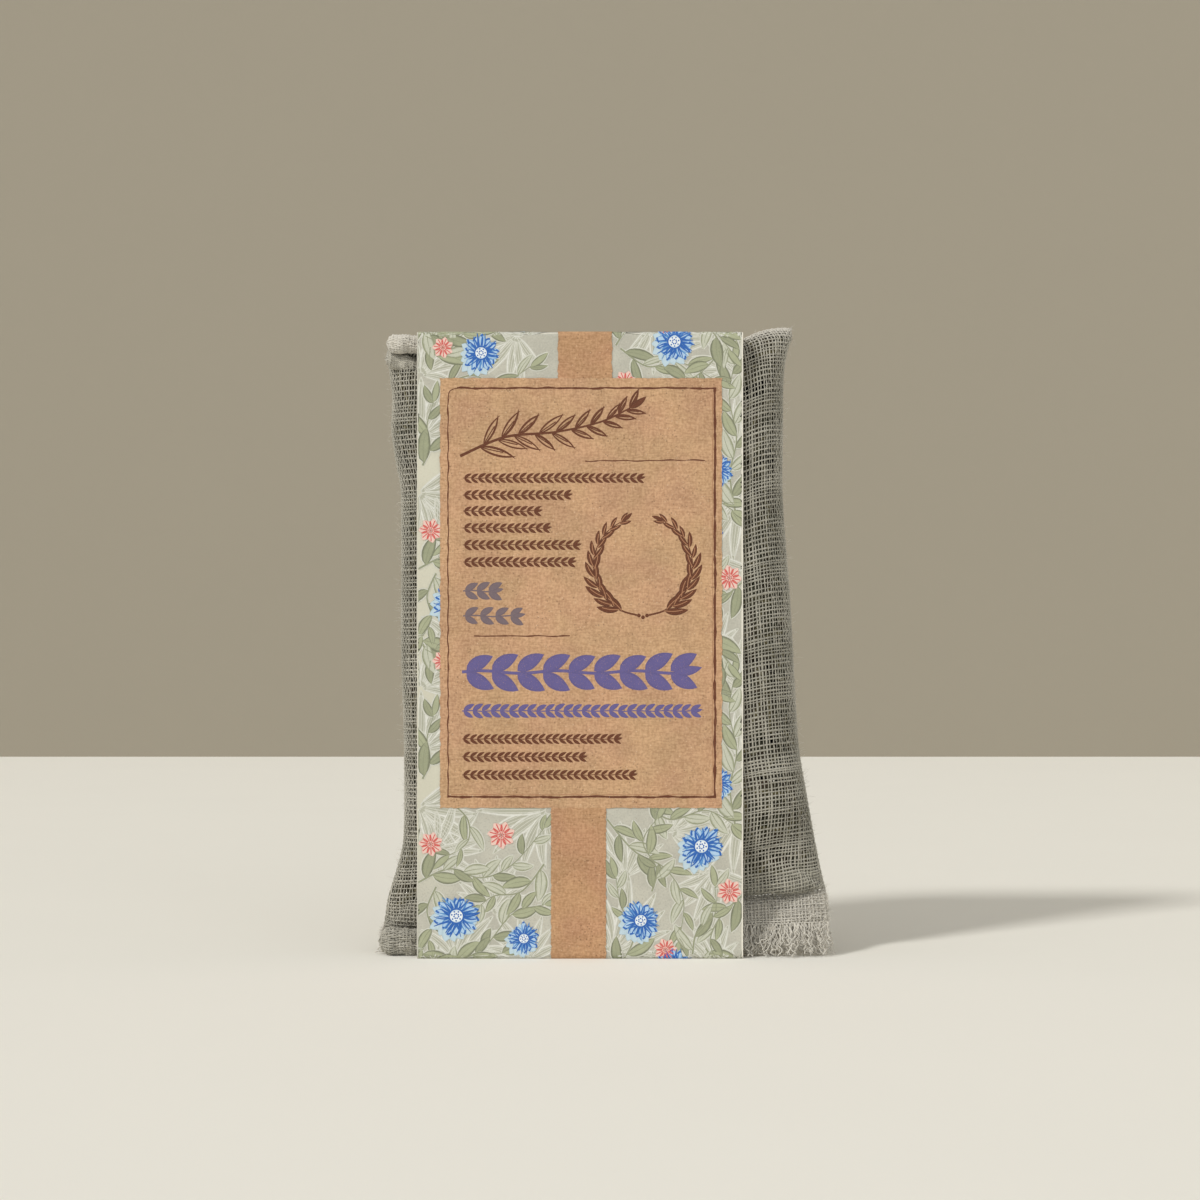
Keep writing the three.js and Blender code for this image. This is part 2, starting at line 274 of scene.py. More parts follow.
class Recipe:
    """One material's nodes, ending in a Principled shader."""

    def __init__(self, name, **constants):
        self.material = bpy.data.materials.new(name)
        self.material.use_nodes = True
        self.tree = self.material.node_tree
        self.shader = self.tree.nodes["Principled BSDF"]
        for socket, value in constants.items():
            self.shader.inputs[socket.replace("_", " ")].default_value = value

    def feed(self, socket, value):
        if isinstance(value, Value):
            self.tree.links.new(value.socket, socket)
        else:
            socket.default_value = value

    def node(self, kind, settings, *values, sockets=None, output=0):
        """A node of this type: its settings, its first inputs in order, others by name or number."""
        node = self.tree.nodes.new(kind)
        for name, setting in settings.items():
            if name == "stops":
                self.set_stops(node.color_ramp, setting)
            else:
                setattr(node, name, setting)
        for key, value in {**dict(enumerate(values)), **(sockets or {})}.items():
            self.feed(node.inputs[key], value)
        return Value(self, node.outputs[output])

    @staticmethod
    def set_stops(ramp, stops):
        """Gives a ramp colours that change at once at each stop."""
        ramp.interpolation = "CONSTANT"
        while len(ramp.elements) < len(stops):
            ramp.elements.new(1)
        for element, (place, colour) in zip(ramp.elements, stops, strict=True):
            element.position = place
            element.color = (*colour, 1)

    def mix(self, share, first, second):
        """Colour from first to second by a share."""
        colours = {0: share, 6: self.rgba(first), 7: self.rgba(second)}
        return self.node("ShaderNodeMix", {"data_type": "RGBA"}, sockets=colours, output=2)

    def vectors(self, operation, *values, sockets=None):
        """A Vector Math node."""
        return self.node("ShaderNodeVectorMath", {"operation": operation}, *values, sockets=sockets)

    def darken(self, colour, share):
        """A colour multiplied by a grey share."""
        return self.vectors("MULTIPLY", colour, self.vector(share, share, share))

    @staticmethod
    def rgba(colour):
        return colour if isinstance(colour, Value) else (*colour, 1)

    def ramp(self, value, low, high):
        """0 below low to 1 above high, smoothly."""
        settings = {"interpolation_type": "SMOOTHSTEP"}
        return self.node("ShaderNodeMapRange", settings, value, low, high)

    def place(self):
        """The point on the piece, in millimetres."""
        here = self.node("ShaderNodeTexCoord", {}, output=3)
        return self.vectors("SCALE", here, sockets={"Scale": 1 / MM})

    def vector(self, *parts):
        return self.node("ShaderNodeCombineXYZ", {}, *parts)

    def stepped(self, value, stops):
        """A colour that changes at once at each stop."""
        return self.node("ShaderNodeValToRGB", {"stops": stops}, value)

    def moved(self, vector, distance):
        """A vector shifted the same way along each axis."""
        return self.vectors("ADD", vector, (distance, distance, distance))

    def split(self, vector):
        """A vector's three parts."""
        first = self.node("ShaderNodeSeparateXYZ", {}, vector)
        return [Value(self, output) for output in first.socket.node.outputs]

    def map_place(self):
        """The piece's own map: across and along."""
        here = self.node("ShaderNodeUVMap", {"uv_map": PIECE_MAP})
        return self.split(here)[:2]

    def noise(self, vector, size, detail=2.0, stretch=(1, 1, 1)):
        """Noise with features of about size millimetres, stretched along each axis."""
        scaled = self.vectors("MULTIPLY", vector, tuple(1 / (size * s) for s in stretch))
        return self.node("ShaderNodeTexNoise", {}, scaled, sockets={"Scale": 1.0, "Detail": detail})

    def cells(self, vector, size):
        """The distance to the middle of Voronoi cells about size millimetres across."""
        return self.node("ShaderNodeTexVoronoi", {}, vector, sockets={"Scale": 1 / size})

    def bump(self, height, depth, strength):
        """Feeds the shader's normal from a height of 0 to 1 that stands depth millimetres."""
        sockets = {"Strength": strength, "Distance": depth * MM, "Height": height}
        self.finish(Normal=self.node("ShaderNodeBump", {}, sockets=sockets))

    def finish(self, **sockets):
        """Feeds the shader's sockets, and gives the material."""
        for name, value in sockets.items():
            value = self.rgba(value) if name == "Base_Color" else value
            self.feed(self.shader.inputs[name.replace("_", " ")], value)
        return self.material


def srgb(red, green, blue):
    """A linear colour from 0 to 255 screen numbers."""
    share = np.array((red, green, blue)) / 255
    return tuple(np.where(share <= 0.04045, share / 12.92, ((share + 0.055) / 1.055) ** 2.4))


# The pouch's outline and first shape


def height_share(z):
    return (z - POUCH_BOTTOM) / (POUCH_TOP - POUCH_BOTTOM)


def left_edge(z):
    return POUCH_SHIFT - POUCH_FLAT_WIDTH / 2 * smooth_through(LEFT_EDGE_SHARES, height_share(z))


def right_edge(z):
    return POUCH_SHIFT + POUCH_FLAT_WIDTH / 2 * smooth_through(RIGHT_EDGE_SHARES, height_share(z))


def top_seam(x):
    """Level behind the card, and a rise that eases out towards the ear: q * (2 - q) over its run."""
    q = np.clip((x - HALF_WIDTH - EAR_STAND_OFF) / EAR_RUN, 0, 1)
    return POUCH_TOP + EAR_RISE * q * (2 - q)


def closing_seam(x):
    share = np.clip((x - POUCH_SHIFT) / POUCH_FLAT_WIDTH + 0.5, 0, 1)
    return POUCH_BOTTOM + HEM_LEFT + (HEM_RIGHT - HEM_LEFT) * share


def in_from_sides(x, z):
    """0 at the side seams to 1 well between them: a quarter round in from each."""
    return quarter_round(x - left_edge(z), FRONT_ROOM) * quarter_round(right_edge(z) - x, FRONT_ROOM)


def fullness(x, z):
    """0 at the pouch's seams to 1 against the sleeve: quarter rounds in from the sides and the top, and from
    the closing seam a small quarter round, its lip, with a smooth step over it."""
    top = quarter_round(top_seam(x) - z, TOP_ROUND_RUN)
    rise = z - closing_seam(x)
    lip = LIP_SHARE * quarter_round(rise.clip(0), LIP_RUN)
    return in_from_sides(x, z) * top * (lip + (1 - LIP_SHARE) * smooth_step(rise / BOTTOM_TAPER_RUN))


# The pillow starts this many times finer than the cloth, and its edges settle in this many rounds.
PILLOW_FINENESS, PILLOW_ROUNDS = 3, 6


def lengths_along(points):
    """The length of each row of points from its start to each point."""
    steps = np.linalg.norm(np.diff(points, axis=1), axis=-1)
    return np.concatenate([np.zeros((len(points), 1)), np.cumsum(steps, axis=1)], 1)


def respaced(points, count):
    """Rows of points, spaced evenly along each row by its length."""
    length = lengths_along(points)
    share = length / length[:, -1:]
    even = np.linspace(0, 1, count)
    rows = [[np.interp(even, s, place) for place in row.T] for s, row in zip(share, points, strict=True)]
    return np.array(rows).transpose(0, 2, 1)


def pillow(depth, rows, columns):
    """One face of the filled pouch, rows down by columns across, evenly spaced by length: its depth is the
    given one times its fullness, and its lip sags over the closing seam by q * exp(1 - q) of the rise above
    it. Also the length of its middle column."""
    share = np.linspace(0, 1, PILLOW_FINENESS * rows)
    down = (share + 1 - np.cos(np.pi / 2 * share)) / 2
    across = np.sin(np.pi / 2 * np.linspace(-1, 1, PILLOW_FINENESS * columns))
    down, across = np.meshgrid(down, across, indexing="ij")
    x = np.full(down.shape, POUCH_SHIFT)
    for _ in range(PILLOW_ROUNDS):
        z = top_seam(x) + (closing_seam(x) - top_seam(x)) * down
        x = left_edge(z) + (right_edge(z) - left_edge(z)) * (across + 1) / 2
    y = depth * fullness(x, z)
    above = (z - closing_seam(x)) / LIP_SAG_RISE
    z = z - LIP_SAG * in_from_sides(x, z) * above * np.exp(1 - above)
    wide = respaced(np.stack([x, y, z], -1), columns)
    length = lengths_along(wide[None, :, columns // 2])[0]
    even = np.interp(np.linspace(0, 1, rows), length / length[-1], np.arange(len(length)))
    low = np.minimum(even.astype(int), len(length) - 2)
    part = (even - low)[:, None, None]
    return wide[low] * (1 - part) + wide[low + 1] * part, float(length[-1])


# Cloth simulation

CLOTH_ROWS, CLOTH_COLUMNS = 89, 65

# The simulation runs at this scale and for this many frames, and keeps this gap between cloth and plate.
SIM_SCALE, SIM_FRAMES, SIM_GAP = 10, 24, 0.1
SIM_CLOTH = {
    "quality": 7,
    "mass": 0.25,
    "tension_stiffness": 18,
    "compression_stiffness": 18,
    "shear_stiffness": 6,
    "bending_stiffness": 0.15,
    "vertex_group_mass": "seams",
    "use_pressure": True,
    "uniform_pressure_force": 4,
}


def simulation_object(name, points, faces):
    """A mesh object for the simulation, which runs at a larger scale."""
    mesh = bpy.data.meshes.new(name)
    mesh.from_pydata((points * MM * SIM_SCALE).tolist(), [], faces)
    return new_object(name, mesh)


def simulation_plate(side, room):
    """A plate for the cloth to press against, where the sleeve's wall is."""
    y = side * (room + 2 * SIM_GAP)
    reach = 2 * SLEEVE_HEIGHT
    corners = np.array([(-reach, y, -reach), (reach, y, -reach), (reach, y, reach), (-reach, y, reach)])
    plate = simulation_object("plate", corners, [(0, 1, 2, 3)[::side]])
    plate.modifiers.new("Collision", "COLLISION")
    plate.collision.thickness_outer = SIM_GAP * SIM_SCALE * MM
    return plate


@functools.cache
def simulated_pouch():
    """The front and back faces of the pouch after its filling presses on the cloth. The cloth is cut flat and
    starts as the pillow, its seams are held in place, and two plates stand where the sleeve's walls are."""
    rows, columns = CLOTH_ROWS, CLOTH_COLUMNS
    front, length = pillow(-FRONT_ROOM, rows, columns)
    back, _ = pillow(BACK_ROOM, rows, columns)
    number = np.arange(rows * columns).reshape(rows, columns)
    inner = number[1:-1, 1:-1].ravel()
    back_number = number.copy()
    back_number[1:-1, 1:-1] = rows * columns + np.arange(inner.size).reshape(rows - 2, columns - 2)
    points = np.concatenate([front.reshape(-1, 3), back.reshape(-1, 3)[inner]])
    quads = grid_faces(rows, columns)
    faces = np.concatenate([quads[:, ::-1], back_number.ravel()[quads]])
    cloth = simulation_object("pouch_simulation", points, faces.tolist())
    flat_x = (np.linspace(-0.5, 0.5, columns) * POUCH_FLAT_WIDTH + POUCH_SHIFT) * np.ones((rows, 1))
    flat_z = POUCH_TOP - np.linspace(0, length, rows)[:, None] * np.ones((1, columns))
    flat = np.stack([flat_x, np.zeros_like(flat_x), flat_z], -1).reshape(-1, 3)
    flat = np.concatenate([flat, flat[inner]])
    cloth.shape_key_add(name="sewn")
    key = cloth.shape_key_add(name="cut flat")
    key.data.foreach_set("co", (flat * MM * SIM_SCALE).astype(np.float32).ravel())
    key.value = 0
    seams = cloth.vertex_groups.new(name=SIM_CLOTH["vertex_group_mass"])
    seams.add(np.setdiff1d(number.ravel(), inner).tolist(), 1.0, "REPLACE")
    modifier = cloth.modifiers.new("Cloth", "CLOTH")
    for name, value in SIM_CLOTH.items():
        setattr(modifier.settings, name, value)
    modifier.settings.rest_shape_key = key
    modifier.settings.effector_weights.gravity = 0
    modifier.collision_settings.distance_min = SIM_GAP * SIM_SCALE * MM
    plates = [simulation_plate(side, room) for side, room in ((-1, FRONT_ROOM), (1, BACK_ROOM))]
    scene = bpy.context.scene
    for step in range(1, SIM_FRAMES + 1):
        scene.frame_set(step)
    shaped = cloth.evaluated_get(bpy.context.evaluated_depsgraph_get()).to_mesh()
    found = np.empty(len(points) * 3, np.float32)
    shaped.vertices.foreach_get("co", found)
    found = found.reshape(-1, 3).astype(float) / (MM * SIM_SCALE)
    for made in (cloth, *plates):
        bpy.data.objects.remove(made)
    scene.frame_set(1)
    return found[number], found[back_number]


# Woven cloth

HEM_ROWS = 4
HEM_WOVEN_SHARE = 0.5

# How far the hem's layers stand apart and part, and how far it ripples, puffs and spreads.
HEM_GAP, HEM_PARTING, HEM_RIPPLE, HEM_PUFF, HEM_SPREAD = 0.3, 1.1, 0.75, 0.3, 0.7

# The cloth's map: the width and height that it stands for, and how far down it one row of the cloth is.
MAP_SPAN = 180.0
ROW_DROP = MAP_SPAN * 0.8 / CLOTH_ROWS

# The crease below the rolled corner: a point on it, its slope, depth, width and half length, and its limit as
# a share of the way to the pouch's middle.
CREASE_X, CREASE_Z, CREASE_SLOPE = -37.5, 133.4, -0.42
CREASE_DEPTH, CREASE_WIDTH, CREASE_RUN = 1.9, 1.5, 6.5
CREASE_LIMIT = 0.8

# How deep the slack cloth sinks, and over what depth from the seams that comes in.
RELIEF, RELIEF_RUN = 0.6, 6.0


def spline_weights(count, places):
    """Weights that read a row of count points at fractional places through a Catmull-Rom curve."""
    low = np.clip(places.astype(int), 0, count - 2)
    q = places - low
    weights = np.zeros((len(places), count))
    row = np.arange(len(places))
    parts = (
        (-1, q * q - q / 2 - q**3 / 2),
        (0, 1 - 2.5 * q * q + 1.5 * q**3),
        (1, q / 2 + 2 * q * q - 1.5 * q**3),
        (2, (q**3 - q * q) / 2),
    )
    for step, value in parts:
        np.add.at(weights, (row, np.clip(low + step, 0, count - 1)), value)
    return weights


def hem_point(x, seam_z, share, side):
    """A point of the hem, a share of the way from the closing seam to the raw edge: it leans forward by the
    power of 0.9 of the share, least at its left end, its layers part, and it ripples and spreads more the
    lower it is."""
    ripple = waves(31 + side, 9, 26, 7, x, 12 * share)
    puff = waves(37 + side, 7, 14, 5, x, 9 * share)
    inward = smooth_step((x - left_edge(POUCH_BOTTOM)) / LEFT_LEAN_RUN)
    lean = HEM_LEAN * (LEFT_LEAN_SHARE + (1 - LEFT_LEAN_SHARE) * inward)
    parting = side * (HEM_GAP + HEM_PARTING * share**0.7)
    y = -lean * share**0.9 + parting + HEM_RIPPLE * share * ripple
    z = seam_z + (POUCH_BOTTOM - seam_z) * share + HEM_PUFF * share * (1 - share) * puff
    spread = HEM_SPREAD * np.sin(np.pi * share**0.8) * np.sign(x - POUCH_SHIFT)
    return np.stack([x + spread * np.abs((x - POUCH_SHIFT) / POUCH_FLAT_WIDTH * 2) ** 6, y, z], -1)


def crease(face):
    """The front cloth, pressed in along a slanted line below its rolled corner: a normal curve across the
    line, times one along it."""
    x, y, z = np.moveaxis(face, -1, 0)
    across = x - CREASE_X
    off = z - CREASE_Z - CREASE_SLOPE * across
    depth = CREASE_DEPTH * np.exp(-((off / CREASE_WIDTH) ** 2) - (across / CREASE_RUN) ** 2)
    return np.stack([x, y + np.minimum(depth, -CREASE_LIMIT * y.clip(max=0)), z], -1)


@functools.cache
def cloth_face(side):
    """One face of the pouch and its woven hem, from the top seam down, sunk in waves where it is slack."""
    face = simulated_pouch()[0 if side < 0 else 1]
    if side < 0:
        face = crease(face)
    x, y, z = np.moveaxis(face, -1, 0)
    sunk = RELIEF / 2 * (1 + waves(41 + side, 14, 24, 6, x, z).clip(-1, 1))
    sunk = sunk * smooth_step(np.abs(y) / RELIEF_RUN)
    share = np.linspace(0, HEM_WOVEN_SHARE, HEM_ROWS + 1)[1:, None]
    return np.concatenate([np.stack([x, y - side * sunk, z], -1), hem_point(x[-1], z[-1], share, side)])


TUBE_POINTS = 4


def tubes(centres, outward, half_width, half_thickness):
    """Closed tubes with a diamond section, carried along rows of centres: the wide way lies across the row
    and the outward direction. Returns points and quads."""
    count, length = centres.shape[:2]
    along = unit(np.gradient(centres, axis=1))
    sideways = unit(np.cross(along, outward))
    up = np.cross(sideways, along)
    wide = sideways * np.asarray(half_width)[..., None]
    thick = up * np.asarray(half_thickness)[..., None]
    points = np.stack([centres + wide, centres - thick, centres - wide, centres + thick], 2)
    last = TUBE_POINTS * (length - 1)
    caps = np.array([[3, 2, 1, 0], [last, last + 1, last + 2, last + 3]])
    one = np.concatenate([grid_faces(length, TUBE_POINTS, closed=True), caps])
    return points.reshape(-1, 3), repeated_faces(one, count, TUBE_POINTS * length)


def tube_map(across, along):
    """The map of tubes, where all the points round a section have one place."""
    flat = np.stack(np.broadcast_arrays(across, along), -1).reshape(-1, 2)
    return np.repeat(flat, TUBE_POINTS, axis=0)


def weave(grid, side, warp_places, weft_places, seed, inset=0.0):
    """Warps and wefts woven over a grid, at places given as shares across and rows down. Each yarn passes
    over one and under the next, wanders, and swells in slubs. Returns (points, faces, map) for each."""
    cloth = bpy.context.scene.sachet_cloth
    half_width, half_thickness = cloth.yarn_width / MM / 2, cloth.yarn_thickness / MM / 2
    rows, columns = grid.shape[:2]
    down = spline_weights(rows, weft_places)
    across = spline_weights(columns, warp_places * (columns - 1))
    surface = np.einsum("jr,rcx,kc->jkx", down, grid, across)
    slope_across = unit(np.gradient(surface, axis=1))
    slope_down = unit(np.gradient(surface, axis=0))
    outward = side * unit(np.cross(slope_across, slope_down))
    surface = surface - outward * np.minimum(inset, 0.45 * np.abs(surface[..., 1:2]))
    weft, warp = np.meshgrid(np.arange(len(weft_places)), np.arange(len(warp_places)), indexing="ij")
    flat_x = (warp_places[None, :] + 0 * weft) * POUCH_FLAT_WIDTH
    flat_s = weft_places[:, None] * ROW_DROP + 0 * warp
    lift = np.where((weft + warp) % 2 == 0, 1.0, -1.0) * half_thickness * 0.9
    made = []
    for kind in range(2):
        yarn, run = (weft, flat_x) if kind else (warp, flat_s)
        wander = waves(seed + kind, 24, 30, 5, yarn * 7.3, run) * cloth.wander / MM
        swell = 1 + cloth.slubs * waves(seed + 5 + kind, 24, 22, 3, yarn * 5.1, run)
        rng = np.random.default_rng(seed + 9 + kind)
        count = yarn.max() + 1
        own = (rng.normal(0, 0.09, count) + 0.5 * (rng.random(count) < 0.05))[yarn]
        wide = half_width * np.clip(swell + own, 0.55, 1.9)
        thick = half_thickness * np.clip(0.6 + 0.4 * swell, 0.7, 1.4)
        sign, slope = (-1, slope_down) if kind else (1, slope_across)
        centres = surface + outward * (sign * lift)[..., None] + slope * wander[..., None]
        parts = (centres, outward, wide, thick, flat_x + wander * (1 - kind), flat_s + wander * kind)
        if not kind:
            parts = tuple(np.swapaxes(part, 0, 1) for part in parts)
        made.append((*tubes(*parts[:4]), tube_map(*parts[4:]) / MAP_SPAN))
    return made


def joined(*parts):
    """Several (points, faces, map) as one."""
    starts = np.cumsum([0, *(len(part[0]) for part in parts[:-1])])
    points = np.concatenate([part[0] for part in parts])
    faces = np.concatenate([part[1] + start for part, start in zip(parts, starts, strict=True)])
    return points, faces, np.concatenate([part[2] for part in parts])


def yarn_places(count, first, last, seed, jitter=0.07, closing=0.0, bunching=0.0):
    """Yarn places from first to last, each a little off its even place. They draw closer by the closing share
    towards the last, and bunch in slow waves."""
    rng = np.random.default_rng(seed)
    even = np.linspace(0, 1, count)
    even = even * (1 + closing * (1 - even))
    off = rng.normal(0, jitter, count).clip(-0.35, 0.35)
    off = off + bunching * waves(seed + 60, 10, 36, 9, np.arange(count, dtype=float))
    off[0] = off[-1] = 0
    return first + (last - first) * (even + off / (count - 1))


# The points along a strand of the fringe and a loose weft, the strands of a warp, the height of the lowest
# yarn and the loose wefts on each side.
FRINGE_POINTS, LOOSE_POINTS = 20, 26
STRANDS, FLOOR_LAY, LOOSE_WEFTS = 4, 0.55, 13

# Where the outer yarns of the fringe and the seam allowances lie, as shares across, and the yarns' seeds.
WARP_SPAN = 0.004, 0.996
WARP_SEED, WEFT_SEED = 11, 12
FRINGE_SEED, LOOSE_SEED = 50, 54


def laid_on_floor(points):
    """Points below the floor are laid on it, pushed forward by 0.6 and outward by 0.1 of their depth."""
    x, y, z = np.moveaxis(points, -1, 0)
    under = np.maximum(FLOOR_LAY - z, 0)
    return np.stack([x + 0.1 * under * np.sign(x - POUCH_SHIFT), y - 0.6 * under, z + under], -1)


def curls(rng, count, share, size, turns):
    """Sideways swings of strands: two sines of random size, pace and phase that grow along each strand."""
    swing = 0
    for pace in (1, 2.3):
        phase = rng.uniform(0, 2 * np.pi, (2, count, 1))
        reach = rng.uniform(0.4, 1, (2, count, 1)) * size / pace
        speed = rng.uniform(0.6, 1.2, (count, 1)) * turns * pace
        swing = swing + reach * (np.sin(2 * np.pi * speed * share + phase) - np.sin(phase))
    return swing * share**0.7


def on_surface(grid, down, across):
    """Points on a grid's smooth surface, at fractional rows and columns."""
    rows, columns = grid.shape[:2]
    return np.einsum("nr,rcx,nc->nx", spline_weights(rows, down), grid, spline_weights(columns, across))


def loose_yarn(points, side, half_width, flat):
    """Loose yarn along rows of points, laid on the floor where it would go through it, with this map."""
    return *tubes(laid_on_floor(points), (0, side, 0), half_width, half_width * 0.8), flat


def fringe(side, seed):
    """The frayed ends below the woven hem: each warp opens into four strands that run on down to the floor,
    crimped and curling from side to side, and turn forward where they meet it."""
    cloth = bpy.context.scene.sachet_cloth
    grid = cloth_face(side)
    places = np.repeat(yarn_places(cloth.warps, *WARP_SPAN, WARP_SEED), STRANDS)
    across = spline_weights(grid.shape[1], places * (grid.shape[1] - 1))
    start, before = across @ grid[-1], across @ grid[-2]
    rng = np.random.default_rng(seed)
    count = len(places)
    share = np.linspace(0, 1, FRINGE_POINTS)[None, :]
    length = (start[:, 2:] + 0.6) * rng.uniform(0.6, 1.1, (count, 1))
    heading = unit(unit(start - before) * (0.25, 0.6, 1) + rng.normal(0, 0.13, (count, 3)))
    points = start[:, None] + heading[:, None] * (length * share)[..., None]
    swing = curls(rng, count, share, 0.62, 3.0)
    points = points + np.stack([swing[0], swing[1] - 0.5 * share**2, 0.3 * swing[1]], -1)
    width = cloth.yarn_width / MM / 2 * rng.uniform(0.5, 1.15, (count, 1)) * (1 - 0.3 * share**2)
    flat = tube_map(places[:, None], share) * (POUCH_FLAT_WIDTH / MAP_SPAN, 0.05) + (0, 0.9)
    return loose_yarn(points, side, width, flat)


def loose_wefts(side, seed):
    """Wefts that have slipped out of the weave: short wavy strands, lying across the hem within its width."""
    cloth = bpy.context.scene.sachet_cloth
    rng = np.random.default_rng(seed)
    share = np.linspace(0, 1, LOOSE_POINTS)[None, :]
    length = rng.uniform(2, 5, (LOOSE_WEFTS, 1))
    reach = POUCH_FLAT_WIDTH / 2 - 1.6 - length / 2
    middle = np.clip(rng.uniform(-1.3, 1.3, (LOOSE_WEFTS, 1)), -1, 1) * reach
    x = POUCH_SHIFT + middle + (share - 0.5) * length
    place = hem_point(x, closing_seam(x), rng.uniform(0.3, 0.8, (LOOSE_WEFTS, 1)), side)
    swing = curls(rng, LOOSE_WEFTS, share, 1.3, 1.5)
    points = place + np.stack([0.6 * swing[0], side * 0.35 - 0.2 * np.abs(swing[0]), swing[1]], -1)
    width = cloth.yarn_width / MM / 2 * rng.uniform(0.45, 0.9, (LOOSE_WEFTS, 1))
    flat = tube_map(share, rng.random((LOOSE_WEFTS, 1))) * (0.1, 0.04) + (0.6, 0.9)
    return loose_yarn(points, side, width, flat)


# The stray fibres of each face, hem, roll and fringe, and the shortest, the longest and their thickness.
HAIR_POINTS = 3
FACE_HAIRS, HEM_HAIRS, ROLL_HAIRS, FRINGE_HAIRS = 1300, 2200, 700, 1700
CLOTH_HAIR = 0.5, 1.6, 0.065
FRINGE_HAIR = 0.6, 1.9, 0.07


def hairs(seed, start, outward, shortest, longest, thickness):
    """Fine stray fibres: each leaves its start outward, bends a random way and tapers."""
    rng = np.random.default_rng(seed)
    count = len(start)
    share = np.linspace(0, 1, HAIR_POINTS)[None, :, None]
    length = rng.uniform(shortest, longest, (count, 1, 1))
    heading = unit(outward + rng.normal(0, 0.7, (count, 3)))[:, None]
    bend = unit(rng.normal(size=(count, 3)))[:, None] * rng.uniform(0.2, 0.9, (count, 1, 1))
    points = start[:, None] + length * (heading * share + bend * share**2)
    points[..., 2] = np.maximum(points[..., 2], FLOOR_LAY)
    width = thickness / 2 * (1 - 0.7 * share[..., 0])
    own = rng.random((count, 2))
    flat = tube_map(own[:, :1] + np.zeros(HAIR_POINTS), own[:, 1:]) * (0.5, 0.04) + (0.1, 0.95)
    return *tubes(points, unit(np.array((0.3, 0.5, 0.8))), width, width), flat


# Each roll's outer end across, how far it runs, its depth and height, how far it dips, its radius and a seed.
TOP_ROLL = (left_edge(POUCH_TOP - 3) + 0.5, 17.0, -6.9, POUCH_TOP - 1.45, 0.5, 1.6, 51)
TOP_TUCK = (left_edge(POUCH_TOP - 6) - 0.2, 13.0, -4.7, POUCH_TOP - 4.5, 3.6, 1.4, 57)
HEM_ROLL = (left_edge(POUCH_BOTTOM + 4) - 0.6, 20.0, -5.4, POUCH_BOTTOM + 2.45, 0.6, 2.6, 53)

# The rolls by name, with how much paler than the rest each one is: a painted highlight, most on the lit roll
# at the top corner, and little on the tuck that lies in shade below it and on the hem's roll.
ROLLS = (
    ("rolled_corner", TOP_ROLL, 1.0),
    ("tucked_corner", TOP_TUCK, 0.3),
    ("rolled_hem_end", HEM_ROLL, 0.15),
)

# A roll's surface, its yarns, and how far in each of its layers of cloth lies.
ROLL_ROWS, ROLL_COLUMNS = 25, 24
ROLL_WARPS, ROLL_WEFTS = 27, 38
ROLL_INSETS = 0.0, 0.35

# The share of a roll's run where it starts to fade behind the sleeve, and how far it sinks there.
ROLL_FADE, ROLL_SINK = 0.45, 4.0


def roll(x_out, run, y, z, dip, radius, seed):
    """A soft roll of cloth with a rounded outer end, from which it dips a little as it runs in behind the
    sleeve, where it thins and sinks into the pouch by a smooth step. Its section is an ellipse that turns
    almost once round, and swells and puckers in waves."""
    turn = np.linspace(-0.3, 1.35, ROLL_ROWS) * np.pi
    turn, along = np.meshgrid(turn, np.linspace(0, 1, ROLL_COLUMNS), indexing="ij")
    fade = smooth_step((along - ROLL_FADE) / (1 - ROLL_FADE))
    size = np.sqrt(1 - (1 - np.minimum(along * run / radius, 1)) ** 2) * (1 - 0.2 * along - 0.5 * fade)
    puff = 1 + (0.16 * waves(seed, 14, 6, 1.4, along * run, turn * radius)).clip(-0.45, 0.45)
    return np.stack([
        x_out + run * along,
        y + ROLL_SINK * fade - 0.95 * radius * size * puff * np.sin(turn),
        z - dip * along + radius * size * (1 + 0.35 * (puff - 1)) * np.cos(turn),
    ], -1)


# Bay leaves

LEAF_LAYERS = 8
LEAF_THICKNESS, LEAF_GAP = 0.35, 0.35
LEAF_ROWS, LEAF_ROW_POINTS = 40, 13
STALK_LENGTH, STALK_WIDTH = 6.0, 1.4
VEIN_GAP, VEIN_SLANT = 6.5, 0.7

# How much longer a leaf is than on its map, its length there and the step to the next one.
LEAF_STRETCH = 2.4
LEAF_MAP_LENGTH, LEAF_MAP_STEP = 0.24, 0.25

# How far the bed of leaves stays in from the pouch's sides, its top, its closing seam and its two cloths.
SIDE_MARGIN, TOP_MARGIN, BOTTOM_MARGIN, CLOTH_MARGIN = 4.0, 5.0, 8.0, 0.8

# Each leaf's middle across and up in the bed as shares of it, its turn in degrees, and its length and width
# as shares of the bed's height and width.
UPRIGHT_LAYER_SHARES = (
    (-0.34, 0.13, -4, 0.65, 0.29),
    (0.01, 0.145, 3, 0.67, 0.31),
    (0.345, 0.13, -3, 0.64, 0.28),
    (0.01, -0.36, 86, 0.66, 0.3),
)
SLANTED_LAYER_SHARES = (
    (-0.18, 0.215, 40, 0.58, 0.3),
    (0, 0, 40, 0.7, 0.3),
    (0.18, -0.215, 40, 0.58, 0.3),
)


def shells(front, back, flat):
    """Closed solids between pairs of grids, (count, rows, columns, 3) each, with one map for both."""
    count, rows, columns = front.shape[:3]
    ring, places = (np.concatenate([a, b[:, :, ::-1]], 2) for a, b in ((front, back), (flat, flat)))
    walls = grid_faces(rows, 2 * columns, closed=True)
    i = np.arange(columns - 1)
    end = np.stack([i, i + 1, 2 * columns - 2 - i, 2 * columns - 1 - i], -1)
    far = end[:, ::-1] + (rows - 1) * 2 * columns
    faces = repeated_faces(np.concatenate([walls, end, far]), count, rows * 2 * columns)
    return ring.reshape(-1, 3), faces[:, ::-1], places.reshape(-1, 2)


